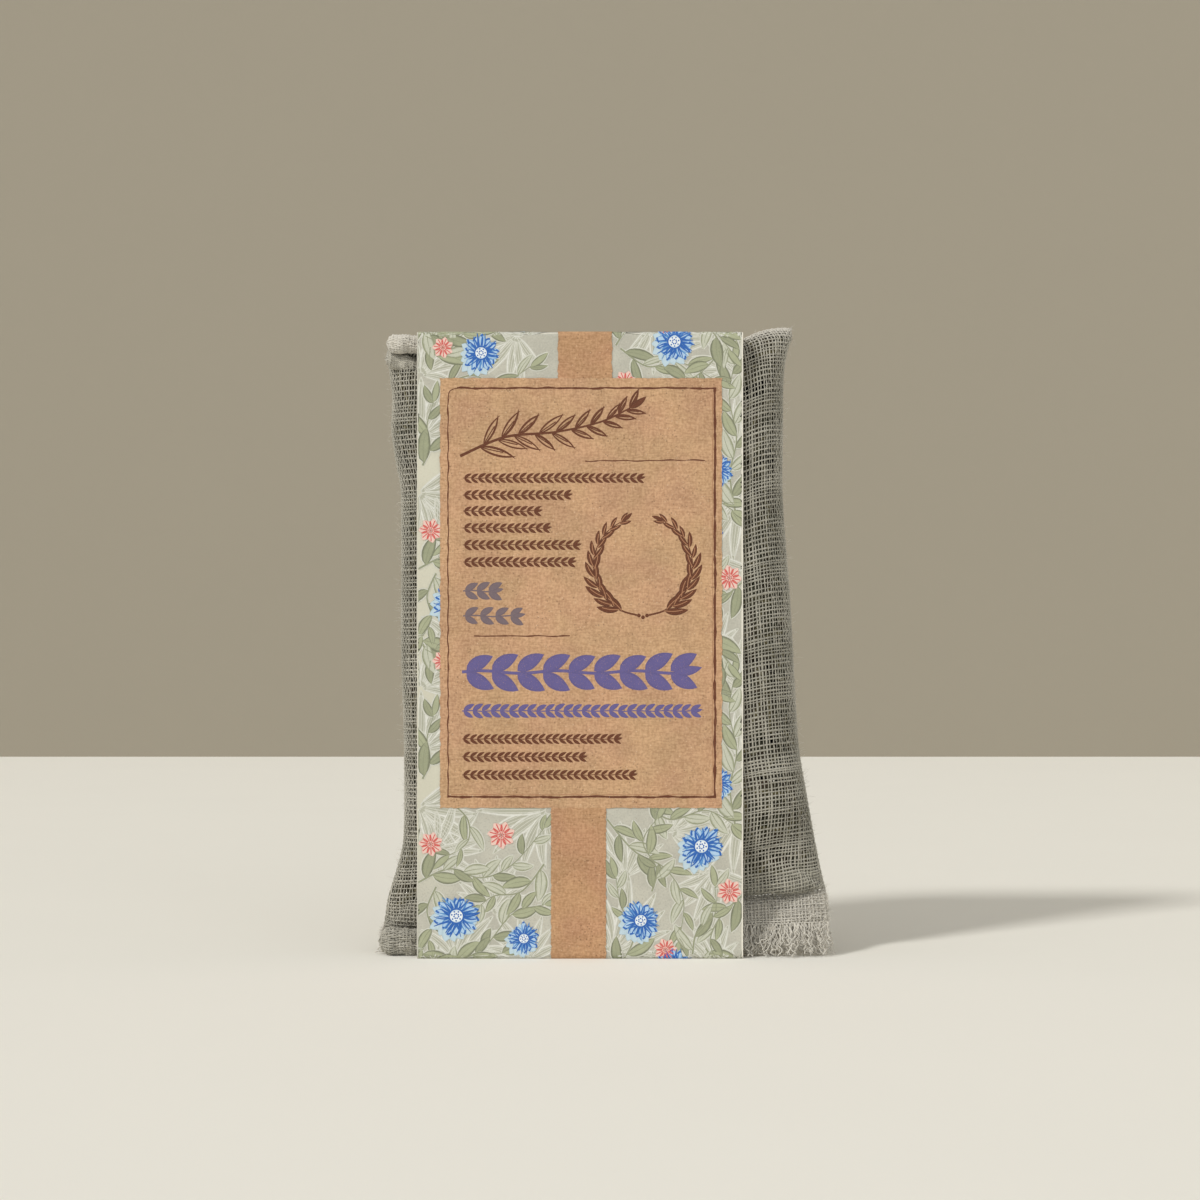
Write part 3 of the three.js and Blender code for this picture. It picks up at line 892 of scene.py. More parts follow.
def leaf_layer(layer):
    """One layer of dried leaves. A leaf's half width swells as the 0.85 power of a sine between its stalk and
    its tip. It is cupped between the layers next to it, with a ridge along its middle and side veins."""
    low = closing_seam(right_edge(POUCH_BOTTOM)) + BOTTOM_MARGIN
    high = POUCH_TOP - TOP_MARGIN
    middle = (low + high) / 2
    left, right = left_edge(middle) + SIDE_MARGIN, right_edge(middle) - SIDE_MARGIN
    upright = layer % 2 == 0
    flipped = -1 if layer % 4 > 1 else 1
    side = flipped if upright else 1
    share, across = np.linspace(0, 1, LEAF_ROWS), np.linspace(-1, 1, LEAF_ROW_POINTS)
    share, across = np.meshgrid(share, across, indexing="ij")
    fronts, backs, maps = [], [], []
    for i, shares in enumerate(UPRIGHT_LAYER_SHARES if upright else SLANTED_LAYER_SHARES):
        x_share, z_share, turn, length_share, width_share = shares
        turned = np.radians(flipped * turn + 3 * np.sin(layer + 2 * i))
        length, width = length_share * (high - low), width_share * (right - left)
        blade = ((share - STALK_LENGTH / length) / (1 - STALK_LENGTH / length)).clip(0, 1)
        stalk = STALK_WIDTH / 2 * (1 - blade)
        half = stalk + (width / 2 - STALK_WIDTH / 2) * np.sin(np.pi * blade**0.9).clip(0, 1) ** 0.85
        edge_wave = 1 + 0.035 * waves(60 + layer, 6, 20, 6, share * length, across + 9 * i)
        along = (share - 0.5) * length
        reach = across * np.maximum(half, 0.12) * edge_wave
        x_middle = (left + right) / 2 + flipped * x_share * (right - left)
        z_middle = middle + side * z_share * (high - low)
        x = x_middle + along * np.sin(turned) + reach * np.cos(turned)
        z = z_middle + along * np.cos(turned) - reach * np.sin(turned)
        swell = fullness(x, z)
        slab = swell * (FRONT_ROOM + BACK_ROOM - 2 * CLOTH_MARGIN) / LEAF_LAYERS
        play = np.maximum(0, slab - LEAF_THICKNESS - LEAF_GAP)
        cup = np.clip(across**2 * half / (width / 2) + (2 * share - 1) ** 4 / 2, 0, 1)
        rise = cup if (layer + i) % 2 == 0 else 1 - cup
        crinkle = 0.12 * waves(70 + layer, 14, 16, 5, along + 99 * i, reach)
        ridge = 0.16 * np.exp(-((reach / 0.55) ** 2)) * (1 - 0.6 * share)
        veins = np.cos(2 * np.pi * (along - VEIN_SLANT * np.abs(reach)) / VEIN_GAP) ** 6
        veins = 0.05 * veins * (1 - np.exp(-(reach**2)))
        thin = LEAF_THICKNESS * (1 - 0.5 * across**2)
        y = -swell * (FRONT_ROOM - CLOTH_MARGIN) + layer * slab + LEAF_GAP / 2 + rise * play
        y = y + crinkle * np.minimum(play, 1)
        fronts.append(np.stack([x, y - ridge - veins, z], -1))
        backs.append(np.stack([x, y + thin + ridge - veins, z], -1))
        maps.append(np.stack([0.5 + reach / MAP_SPAN, share * LEAF_MAP_LENGTH + LEAF_MAP_STEP * i], -1))
    return shells(np.stack(fronts), np.stack(backs), np.stack(maps))


def grid_points(grid, down, across):
    """Points of a grid at fractional rows and columns, straight between its own."""
    row = np.clip(down.astype(int), 0, grid.shape[0] - 2)
    column = np.clip(across.astype(int), 0, grid.shape[1] - 2)
    p, q = (down - row)[..., None], (across - column)[..., None]
    upper = grid[row, column] * (1 - q) + grid[row, column + 1] * q
    lower = grid[row + 1, column] * (1 - q) + grid[row + 1, column + 1] * q
    return upper * (1 - p) + lower * p


# The broken bits' drop along the cloth, their distance from the seams, their thickness and number a face.
POUCH_DROP = 135.0
SEAM_MARGIN, BIT_THICKNESS = 0.9, 0.16
BROKEN_BITS = 1080


def broken_leaf(count, seed, skin):
    """Bits of broken leaf inside the pouch: thin curled ovals, placed by shares across and down the cloths
    and by a share of the way from the front cloth to the back. Most lie near the skin that is given, 0 for
    the front and 1 for the back, and more at the sides and at the bottom, where they settle."""
    rng = np.random.default_rng(seed)
    each = (count, 1, 1)
    front, back = cloth_face(-1)[:CLOTH_ROWS], cloth_face(1)[:CLOTH_ROWS]
    across, down = rng.beta(0.62, 0.62, each), rng.beta(0.85, 0.75, each)
    length, width = rng.uniform(5, 13, each), rng.uniform(3.5, 8, each)
    a, b = np.meshgrid(np.linspace(-1, 1, 6), np.linspace(-1, 1, 5), indexing="ij")
    narrow = (1 - 0.85 * a**2 + 0.16 * np.sin(3 * a + rng.uniform(0, 6, each))).clip(0.12)
    along, aside = a * length / 2, b * width / 2 * np.sqrt(narrow)
    turn = rng.uniform(0, np.pi, each)
    x = across * POUCH_FLAT_WIDTH + along * np.cos(turn) - aside * np.sin(turn)
    s = down * POUCH_DROP + along * np.sin(turn) + aside * np.cos(turn)
    x = x.clip(SEAM_MARGIN, POUCH_FLAT_WIDTH - SEAM_MARGIN)
    s = s.clip(SEAM_MARGIN, POUCH_DROP - SEAM_MARGIN)
    rows, columns = s / POUCH_DROP * (CLOTH_ROWS - 1), x / POUCH_FLAT_WIDTH * (CLOTH_COLUMNS - 1)
    near, far = grid_points(front, rows, columns), grid_points(back, rows, columns)
    room = np.linalg.norm(far - near, axis=-1)
    sunk = 0.75 + rng.uniform(0, 1.6, each) ** 2 + rng.uniform(-0.5, 0.5, each) * a * b
    sunk = sunk + 0.5 * (a**2 + b**2) * rng.uniform(0, 1, each)
    share = np.clip(sunk / np.maximum(room, 1e-3), 0, 0.5)
    share = 1 - share if skin else share
    thick = np.minimum(BIT_THICKNESS, 0.2 * room) / np.maximum(room, 1e-3)
    outer, inner = (near + (far - near) * (share + hand * thick)[..., None] for hand in (-0.5, 0.5))
    down_map = 0.5 + 0.08 * np.sin(turn * 9) + along / MAP_SPAN / LEAF_STRETCH
    return shells(outer, inner, np.stack([0.5 + aside / MAP_SPAN, down_map], -1))


# The sleeve's print, drawn flat and wrapped round the card

BACK_TOP = SLEEVE_HEIGHT + SLEEVE_DEPTH
PRINT_EDGE = HALF_WIDTH - 0.3
PRINT_START, PRINT_END = -SLEEVE_DEPTH - LAP_EDGE, BACK_TOP + SLEEVE_HEIGHT - LAP_EDGE
PANEL = (px(440), px(722), pz(808), pz(378))
UPPER_STRIP, LOWER_STRIP = (px(558), px(612)), (px(551), px(606))
BACK_PANEL = (-27.0, 27.0, BACK_TOP + 17.0, BACK_TOP + 72.0)
TONES = (
    "frond", "halo", "sage", "deep_sage", "pale_sage", "stem", "pale_blue", "blue_wash", "blue", "blue_line",
    "paper", "coral", "ink", "pale_ink", "purple", "violet", "pink",
)


def right_of(heading):
    """The direction to the right of a heading."""
    return np.stack([heading[..., 1], -heading[..., 0]], -1)


def wrapped(x, s, lift):
    """Points on the sleeve, lift mm off its outer face. s runs up the front from the bottom fold, over the
    top and down the back, and below zero it runs under the bottom and up the back, where it steps in under
    the lap. Each fold is a quarter circle, where the print stands a little prouder so that its chords clear
    the card."""
    folds = np.array([-SLEEVE_DEPTH, 0, SLEEVE_HEIGHT, BACK_TOP])
    corners = np.array([(1.0, 0), (-1, 0), (-1, 1), (1, 1)]) * (HALF_DEPTH, SLEEVE_HEIGHT)
    normals = np.array([(1.0, 0), (0, -1), (-1, 0), (0, 1), (1, 0)])
    stretch = np.searchsorted(folds, s, side="right")
    corner = np.maximum(stretch - 1, 0)
    past = (s - folds[corner])[..., None]
    flat = corners[corner] + right_of(normals)[stretch] * past + normals[stretch] * lift[..., None]
    near = np.abs(s[..., None] - folds).argmin(-1)
    turn = np.clip(((s - folds[near]) / FOLD_RADIUS + 1) / 2, 0, 1)
    angle = (np.pi / 2 * turn)[..., None]
    normal = normals[near] * np.cos(angle) + normals[near + 1] * np.sin(angle)
    centre = corners[near] - FOLD_RADIUS * (normals[near] + normals[near + 1])
    proud = FOLD_RADIUS + lift + 0.1 * np.sin(np.pi * turn)
    on_fold = (np.abs(s - folds[near]) < FOLD_RADIUS)[..., None]
    place = np.where(on_fold, centre + normal * proud[..., None], flat)
    step = np.clip((-SLEEVE_DEPTH - s - LAP_STEP) / LAP_STEP_RUN - 0.1, 0, 1)
    return np.stack([x, place[..., 0] - LAP_DEPTH * step, place[..., 1]], -1)


# The points along a short path and a fine one, and along the stems of vines and sprigs.
PATH_POINTS, FINE_POINTS, VINE_POINTS, SPRIG_POINTS = 9, 13, 40, 60


def curve(points, count):
    """A smooth curve of count points through a few, as shares of their number."""
    points = np.array(points, float)
    return spline_weights(len(points), np.linspace(0, len(points) - 1, count)) @ points


def bearings(stem):
    """A curve's steps, the angle of each, and the curve's length."""
    steps = np.gradient(stem, axis=0)
    length = np.linalg.norm(np.diff(stem, axis=0), axis=1).sum()
    return steps, np.arctan2(steps[:, 1], steps[:, 0]), length


def paths_from(base, angle, length, bend, count=PATH_POINTS):
    """Paths that leave their bases at an angle and bend evenly: the heading turns by bend over the length."""
    base, angle, length, bend = (np.atleast_1d(np.asarray(v, float)) for v in (base, angle, length, bend))
    heading = angle[:, None] + bend[:, None] * np.linspace(0, 1, count)
    step = rays(heading) * (length[:, None, None] / (count - 1))
    return base.reshape(-1, 1, 2) + np.cumsum(step, axis=1) - step[:, :1]


def leaf_profile(count=PATH_POINTS, blunt=0.8):
    """Half widths along a leaf, 0 at its base and tip: a power of a sine, fuller at its base."""
    share = np.linspace(0, 1, count)
    return np.sin(np.pi * share**0.85).clip(0, 1) ** blunt


# The step between layers of ink, the heights in each, and the points across a leaf, a stroke and a line.
LAYER_LIFT, LIFTS_EACH = 0.0125, 50
LEAF_COLUMNS, STROKE_COLUMNS, LINE_COLUMNS = 5, 3, 2
VINE_LAYER, BLOOM_LAYER, KRAFT_LAYER, INK_LAYER = 4, 7, 11, 13


class Print:
    """Ribbons of ink on the unfolded sleeve: paths with a half width at each point, a tone and a layer. Each
    layer lies over the last, and in a layer no two ribbons that meet lie at the same height."""

    def __init__(self, under_panels=False):
        self.under_panels = under_panels
        self.parts = []
        self.drawn = 0
        self.taken = {}

    def turns(self, flat, layer):
        """The first height in the layer that is free of the ribbons that each one's box meets."""
        turns = []
        taken = self.taken.get(layer, np.empty((0, 5)))
        for low, high in zip(flat.min(axis=(1, 2)), flat.max(axis=(1, 2)), strict=True):
            meets = ((taken[:, :2] <= high) & (taken[:, 2:4] >= low)).all(axis=1)
            free = np.setdiff1d(np.arange(LIFTS_EACH), taken[meets, 4])
            turns.append(free[0] if len(free) else LIFTS_EACH - 1)
            taken = np.vstack([taken, [*low, *high, turns[-1]]])
        self.taken[layer] = taken
        return np.array(turns)

    def ribbons(self, paths, half_widths, tone, layer, columns=STROKE_COLUMNS):
        """Lays ribbons along paths. Those that are hidden or lie past the print's ends are left out."""
        paths = np.asarray(paths, float)
        if paths.ndim == 2:
            paths = paths[None]
        half_widths = np.broadcast_to(np.asarray(half_widths, float), paths.shape[:2])
        along = paths[..., 1]
        keep = ((along > PRINT_START) & (along < PRINT_END)).any(axis=1)
        if self.under_panels:
            keep &= ~covered(paths).all(axis=1)
        paths, half_widths = paths[keep], half_widths[keep]
        count, length = paths.shape[:2]
        if not count:
            return
        right = right_of(unit(np.gradient(paths, axis=1)))
        reach = np.linspace(-1, 1, columns)
        flat = paths[:, :, None] + right[:, :, None] * (half_widths[..., None] * reach)[..., None]
        x = np.clip(flat[..., 0], -PRINT_EDGE, PRINT_EDGE)
        s = np.clip(flat[..., 1], PRINT_START, PRINT_END)
        turn = self.turns(flat, layer)[:, None, None]
        start = ((self.drawn + np.arange(count)) * 0.618 % 1 / 2)[:, None, None]
        self.drawn += count
        points = wrapped(x, s, (layer + 1 + turn / LIFTS_EACH) * LAYER_LIFT + 0 * x)
        across = (TONES.index(tone) + 0.04 + 0.92 * (reach + 1) / 2) / len(TONES)
        along = start + np.linspace(0.01, 0.49, length)[None, :, None]
        faces = repeated_faces(grid_faces(length, columns), count, length * columns)
        places = np.stack(np.broadcast_arrays(across, along), -1)
        self.parts.append((points.reshape(-1, 3), faces, places.reshape(-1, 2)))

    def lines(self, paths, half_widths, tone, layer):
        """Lays fine lines along paths."""
        self.ribbons(paths, half_widths, tone, layer, LINE_COLUMNS)

    def leaves(self, base, angle, length, width, tone, layer, bend=0.3, halo=0.0):
        """Lays leaves from their bases, each with a halo under it where one is given."""
        paths = paths_from(base, angle, length, bend)
        profile = np.atleast_1d(np.asarray(width, float))[:, None] / 2 * leaf_profile()
        if halo:
            self.ribbons(paths, profile + halo, "halo", layer - 1)
        self.ribbons(paths, profile, tone, layer, LEAF_COLUMNS)

    def discs(self, centres, radius, tone, layer):
        """Round dots: short ribbons whose half width is a circle's."""
        centres = np.atleast_2d(np.asarray(centres, float))
        share = np.linspace(-0.999, 0.999, PATH_POINTS)
        radius = np.broadcast_to(np.asarray(radius, float), len(centres))[:, None]
        paths = centres[:, None] + np.stack([share * radius, 0 * share * radius], -1)
        self.ribbons(paths, np.sqrt(1 - share**2) * radius, tone, layer)

    def piece(self, name, material):
        """All that was laid, as one piece on the sleeve."""
        return new_piece(name, joined(*self.parts), material, "sleeve")


def covered(places):
    """True where a place on the unfolded sleeve lies well under the kraft panels."""
    x, s = places[..., 0], places[..., 1]
    hidden = np.zeros(x.shape, bool)
    for left, right, low, high in (PANEL, BACK_PANEL):
        hidden |= (x > left + 1) & (x < right - 1) & (s > low + 1) & (s < high - 1)
    return hidden


# The repeat of the pattern: half the sleeve's height. Places are across and up from its lower edge. A frond
# also has a direction in degrees and a length, and a flower a radius.
REPEAT = SLEEVE_HEIGHT / 2
VINES = (
    ((-36, 17), (-29, 20), (-22, 18), (-15, 21), (-8, 29)),
    ((-36, 2), (-31, -1), (-22, 2), (-15, 10), (-8, 12)),
    ((6, 31), (12, 24), (19, 20), (23, 13), (22, 4)),
    ((36, 14), (31, 9), (29, 3), (33, -4)),
    ((8, -3), (12, 5), (9, 12), (8, 18)),
    ((-35, 40), (-33.4, 44), (-34, 49), (-32.6, 54)),
    ((34.6, 29), (33.4, 38), (34.8, 46), (33.2, 55), (34.4, 63)),
    ((-30, 58), (-24, 60), (-18, 58), (-11, 62)),
    ((9, 66), (15, 62), (22, 63), (30, 59)),
    ((-29, 35), (-25, 31), (-25, 26), (-29, 23)),
    ((-8, 21), (-13, 15), (-19, 14), (-22, 12)),
    ((14, 35), (20, 31), (28, 33), (34, 30)),
    ((-32, 16), (-34, 11), (-33, 6), (-35, 2)),
    ((25, 1), (26, 6), (30, 10), (30, 16)),
    ((16, 15), (17, 20), (14, 26), (17, 31)),
    ((-35, 70), (-31, 64), (-25, 70), (-17, 71)),
    ((28, 72), (31, 66), (26, 60), (21, 59)),
)
FRONDS = (
    (-7, 33, 200, 15), (-36, 34, -40, 15), (7, 1, 60, 17), (36, 33, 215, 17), (-20, 10, 75, 12),
    (-35.5, 46, 80, 14), (35, 44, 100, 14), (-14, 69, 230, 12), (16, 72, -60, 12), (20, 28, 20, 11),
    (-28, 0, 60, 13), (30, 20, -95, 12), (-35.5, 60, 70, 12), (35, 60, 110, 12), (-12, -1, 100, 12),
    (10, 18, 100, 13), (-33, 24, 20, 12), (30, -2, 120, 11),
)
BLOOMS = (
    (-27.5, 9.5, 5.2), (27, 25, 5.2), (13.5, 8.5, 4.6), (-12.5, 4.5, 3.8), (-22, 65, 4.6), (21, 67.5, 4.8),
    (30.5, 39, 4.0),
)
STARS = (
    (-17.5, 27.5, 2.6), (33.2, 15, 2.4), (-33.2, 25.5, 2.3), (10, 58.5, 2.2), (-30.5, -3.5, 2.0),
    (19, 2, 2.2),
)


def draw_vine(ink, points, shift, seed):
    """A stem with leaves on alternate sides, each with a darker middle vein, and one at its tip."""
    rng = np.random.default_rng(seed)
    stem = curve(points, VINE_POINTS) + (0, shift)
    _, turn, length = bearings(stem)
    share = np.linspace(0, 1, VINE_POINTS)
    ink.lines(stem, 0.34 - 0.2 * share, "halo", VINE_LAYER - 1)
    ink.lines(stem, 0.2 - 0.12 * share, "stem", VINE_LAYER)
    count = max(5, int(length / 2.5))
    at = np.linspace(3, VINE_POINTS - 2, count).astype(int)
    hand = np.where(np.arange(count) % 2 == 0, 1.0, -1.0)
    size = rng.uniform(5.4, 8.2, count) * (1 - 0.3 * np.linspace(0, 1, count))
    angle = turn[at] + hand * rng.uniform(0.6, 1.05, count)
    width = size * rng.uniform(0.28, 0.42)
    tones = rng.integers(0, 3, count)
    for tone, name in enumerate(("sage", "deep_sage", "pale_sage")):
        own = tones == tone
        ink.leaves(stem[at][own], angle[own], size[own], width[own], name, VINE_LAYER, -0.5 * hand[own], 0.28)
    veins = paths_from(stem[at], angle, size * 0.78, -0.39 * hand)
    ink.lines(veins, 0.09 - 0.06 * np.linspace(0, 1, PATH_POINTS), "stem", VINE_LAYER + 1)
    ink.leaves(stem[-1], turn[-1], 5.0, 1.7, "sage", VINE_LAYER, 0.2, 0.28)


def draw_frond(ink, x, s, degrees, length, seed):
    """A pale plume of slender leaves from one base, the middle ones longest, each with fine pale lines."""
    rng = np.random.default_rng(seed)
    spread = np.linspace(-1, 1, 8)
    angle = np.radians(degrees) + spread * 1.05 + rng.normal(0, 0.06, 8)
    size = length * (1 - 0.3 * spread**2) * rng.uniform(0.9, 1.1, 8)
    bend = 0.55 * spread + rng.uniform(-0.35, 0.35)
    paths = paths_from(np.array((x, s)) + rays(angle) * 0.6, angle, size, bend, FINE_POINTS)
    profile = (size[:, None] * 0.07 + 0.35) * leaf_profile(FINE_POINTS)
    ink.ribbons(paths, profile + 0.16, "halo", 0)
    ink.ribbons(paths, profile, "frond", 1)
    right = right_of(unit(np.gradient(paths, axis=1)))
    for place in (-0.5, 0, 0.5):
        line = paths + right * (profile * place)[..., None]
        ink.lines(line[:, 1:-1], 0.075, "halo", 2)


def draw_bloom(ink, x, s, radius, seed):
    """A daisy: washed petals with dark strokes that fray at their tips, and a dotted pale middle."""
    rng = np.random.default_rng(seed)
    centre = np.array((x, s))
    petals = 14
    angle = np.arange(petals) * 2 * np.pi / petals + rng.uniform(0, 1) + rng.normal(0, 0.05, petals)
    out = rays(angle)
    size = radius * rng.uniform(0.55, 0.8, petals)
    slip = np.array((-0.16, -0.2)) * radius
    ink.leaves(centre + slip + out * radius * 0.2, angle, size + 0.4, radius * 0.5, "pale_blue", BLOOM_LAYER)
    ink.leaves(centre + out * radius * 0.25, angle, size, radius * 0.36, "blue_wash", BLOOM_LAYER + 1, 0.2)
    thinning = 1.35 - np.linspace(0, 1, PATH_POINTS)
    for hand, tone in ((-0.15, "blue"), (0.04, "blue_line"), (0.16, "blue_line")):
        base = centre + out * radius * 0.32 - right_of(out) * radius * hand
        reach = size * rng.uniform(0.55, 0.95, petals)
        turn = angle + hand + rng.normal(0, 0.12, petals)
        strokes = paths_from(base, turn, reach, rng.normal(0, 0.4, petals))
        ink.lines(strokes, radius * rng.uniform(0.022, 0.05, (petals, 1)) * thinning, tone, BLOOM_LAYER + 2)
    tip = centre + out * (radius * 0.22 + size)[:, None] * 0.97
    turn = angle + rng.uniform(1.7, 2.3, petals)
    frays = paths_from(tip, turn, radius * rng.uniform(0.14, 0.26, petals), 0.9 + 0 * angle)
    ink.lines(frays, radius * 0.04, "blue_line", BLOOM_LAYER + 2)
    ink.discs(centre, radius * 0.31, "paper", BLOOM_LAYER + 3)
    circle = centre + rays(np.linspace(0, 2 * np.pi, 41)) * radius * 0.31
    ink.lines(circle, radius * 0.035, "blue_line", BLOOM_LAYER + 4)
    stamens = np.where(np.arange(petals) % 2, 0.2, 0.1)[:, None]
    ink.discs(centre + out * radius * stamens, radius * 0.035, "blue_line", BLOOM_LAYER + 4)


def draw_star(ink, x, s, radius, seed):
    """A small pink flower: seven washed petals with fine coral strokes that fork, round a ring of dots."""
    rng = np.random.default_rng(seed)
    petals = 7
    angle = np.arange(petals) * 2 * np.pi / petals + rng.uniform(0, 1)
    out = rays(angle)
    centre = np.array((x, s))
    ink.leaves(centre + out * radius * 0.1, angle, radius * 1.12, radius * 0.85, "pink", BLOOM_LAYER)
    for hand in (-1, 0, 1):
        base = centre + out * radius * 0.3 - right_of(out) * radius * 0.12 * hand
        strokes = paths_from(base, angle + 0.12 * hand, radius * (0.72 - 0.12 * abs(hand)), 0.7 * hand)
        ink.lines(strokes, radius * 0.045, "coral", BLOOM_LAYER + 2)
    ink.discs(centre + out * radius * 0.2, radius * 0.06, "coral", BLOOM_LAYER + 3)
    ink.discs(centre, radius * 0.07, "coral", BLOOM_LAYER + 3)


def draw_pattern(leaves, flowers):
    """The whole pattern: its repeat, laid from the lower back flap round to the upper one."""
    for repeat in range(-1, 4):
        shift = repeat * REPEAT
        for i, (x, s, degrees, length) in enumerate(FRONDS):
            draw_frond(leaves, x, s + shift, degrees, length, 100 + i)
        for i, points in enumerate(VINES):
            draw_vine(leaves, points, shift, 200 + i)
        for i, (x, s, radius) in enumerate(BLOOMS):
            draw_bloom(flowers, x, s + shift, radius, 300 + i)
        for i, (x, s, radius) in enumerate(STARS):
            draw_star(flowers, x, s + shift, radius, 400 + i)


def leaf_row(ink, left, right, s, height, tone, seed, weight=0.34):
    """A printed laurel band of paired leaves. Weight is a leaf's width as a share of its length."""
    rng = np.random.default_rng(seed)
    way = np.sign(right - left)
    count = max(2, round(abs(right - left) / height / 0.56) - 1)
    x = np.linspace(left + 0.1 * way * height, right - 0.75 * way * height, count)
    heading = 0 if way > 0 else np.pi
    stem = np.stack([np.linspace(left, right - 0.5 * way * height, 24), np.full(24, s)], -1)
    stem[:, 1] += 0.03 * height * np.sin(np.linspace(0, 2 * count, 24))
    ink.ribbons(stem, height * 0.035, tone, INK_LAYER)
    for hand in (-way, way):
        size = height * rng.uniform(0.7, 0.78, count)
        turn = hand * rng.uniform(0.66, 0.76, count)
        base = np.stack([x, s + 0.02 * hand * way * height + 0 * x], -1)
        ink.leaves(base, heading + turn, size, size * weight, tone, INK_LAYER, -0.3 * hand)
    ink.leaves((x[-1] + 0.1 * way * height, s), heading, height * 0.64, height * 0.22, tone, INK_LAYER)


def rough_rule(ink, points, half_width, tone, seed):
    """A hand-ruled line: it wavers a little, and its width comes and goes like a dry brush's."""
    points = np.array(points, float)
    reach = np.linalg.norm(np.diff(points, axis=0), axis=1)
    at = np.concatenate([[0], np.cumsum(reach)])
    along = np.linspace(0, at[-1], max(12, int(at[-1] / 0.8)))
    path = np.stack([np.interp(along, at, points[:, i]) for i in range(2)], -1)
    path = path + 0.055 * np.stack([waves(seed, 8, 30, 3, along), waves(seed + 1, 8, 30, 3, along)], -1)
    width = half_width * (1 + 0.22 * waves(seed + 2, 14, 9, 1.6, along)).clip(0.45, 1.5)
    ink.ribbons(path, width, tone, INK_LAYER)


def draw_sprig(ink, points, longest, tone, seed, open_leaves=False):
    """A leafy sprig: opposite slender leaves that shorten towards the tip, along a curved stem. Open leaves
    are drawn as two bowed strokes and a vein."""
    rng = np.random.default_rng(seed)
    stem = curve(points, SPRIG_POINTS)
    steps, turn, length = bearings(stem)
    ink.ribbons(stem, longest * (0.04 - 0.02 * np.linspace(0, 1, SPRIG_POINTS)), tone, INK_LAYER)
    count = max(4, int(length / longest * 2.1))
    at = np.linspace(8, SPRIG_POINTS - 3, count).astype(int)
    for hand in (-1, 1):
        size = longest * (1 - 0.42 * np.linspace(0, 1, count)) * rng.uniform(0.88, 1.08, count)
        angle = turn[at] + hand * rng.uniform(0.5, 0.72, count)
        base = stem[at] + unit(steps[at]) * longest * 0.06 * hand
        if open_leaves:
            for bow in (-1, 1):
                strokes = paths_from(base, angle + 0.42 * bow, size, -0.85 * bow + 0 * angle, FINE_POINTS)
                width = longest * rng.uniform(0.02, 0.034, (count, 1)) * leaf_profile(FINE_POINTS, 0.4)
                ink.ribbons(strokes, width, tone, INK_LAYER)
            veins = paths_from(base, angle, size * 0.62, -0.1 * hand)
            ink.ribbons(veins, longest * 0.014, tone, INK_LAYER)
        else:
            ink.leaves(base, angle, size, size * 0.3, tone, INK_LAYER, -0.45 * hand)
            veins = paths_from(base, angle, size * 0.75, -0.45 * hand)
            ink.ribbons(veins, longest * 0.016, "pale_ink", INK_LAYER + 1)
    ink.leaves(stem[-1], turn[-1], longest * 0.55, longest * 0.17, tone, INK_LAYER)


def draw_wreath(ink, x, s, radius, tone, up=1):
    """An open wreath: two curved sprigs that nearly meet. Up is -1 on the back, where s runs downwards."""
    for hand in (-1, 1):
        angle = -np.pi / 2 + hand * np.linspace(0.12, np.pi - 0.42, 9)
        points = np.array((x, s)) + radius * (rays(angle) * (1, up))
        draw_sprig(ink, points, radius * 0.46, tone, 500 + hand)
    dots = [(x - 0.9, s - up * radius), (x, s - up * (radius + 0.4)), (x + 0.9, s - up * radius)]
    ink.discs(np.array(dots), 0.42, tone, INK_LAYER + 1)


# The front panel in the photo's pixels: each row's height and end, and for the bigger ones the length of
# their leaves in mm, a tone, a seed and how broad the leaves are.
ROW_START = 463
SMALL_ROW, SMALL_ROWS = 2.7, ((478, 646), (495, 573), (511, 543), (528, 552), (545, 582), (562, 577))
LOWER_START, LOWER_ROWS = 462, ((739, 623), (757, 588), (775, 638))
VIOLET_ROWS = ((591, 504, 4.6, "violet", 640, 0.44), (616, 526, 4.6, "violet", 641, 0.44))
PURPLE_ROWS = ((672, 703, 9.6, "purple", 650, 0.46), (711, 703, 3.6, "purple", 651, 0.4))
SPRIG = ((460, 456), (505, 437), (555, 432), (600, 422), (630, 408))

# The rows of the back panel as shares of its width, the first one's height and the step between rows.
BACK_ROWS = 0.9, 0.8, 0.86, 0.74, 0.9, 0.58
BACK_ROWS_LOW, BACK_ROW_STEP = 31, 3.7


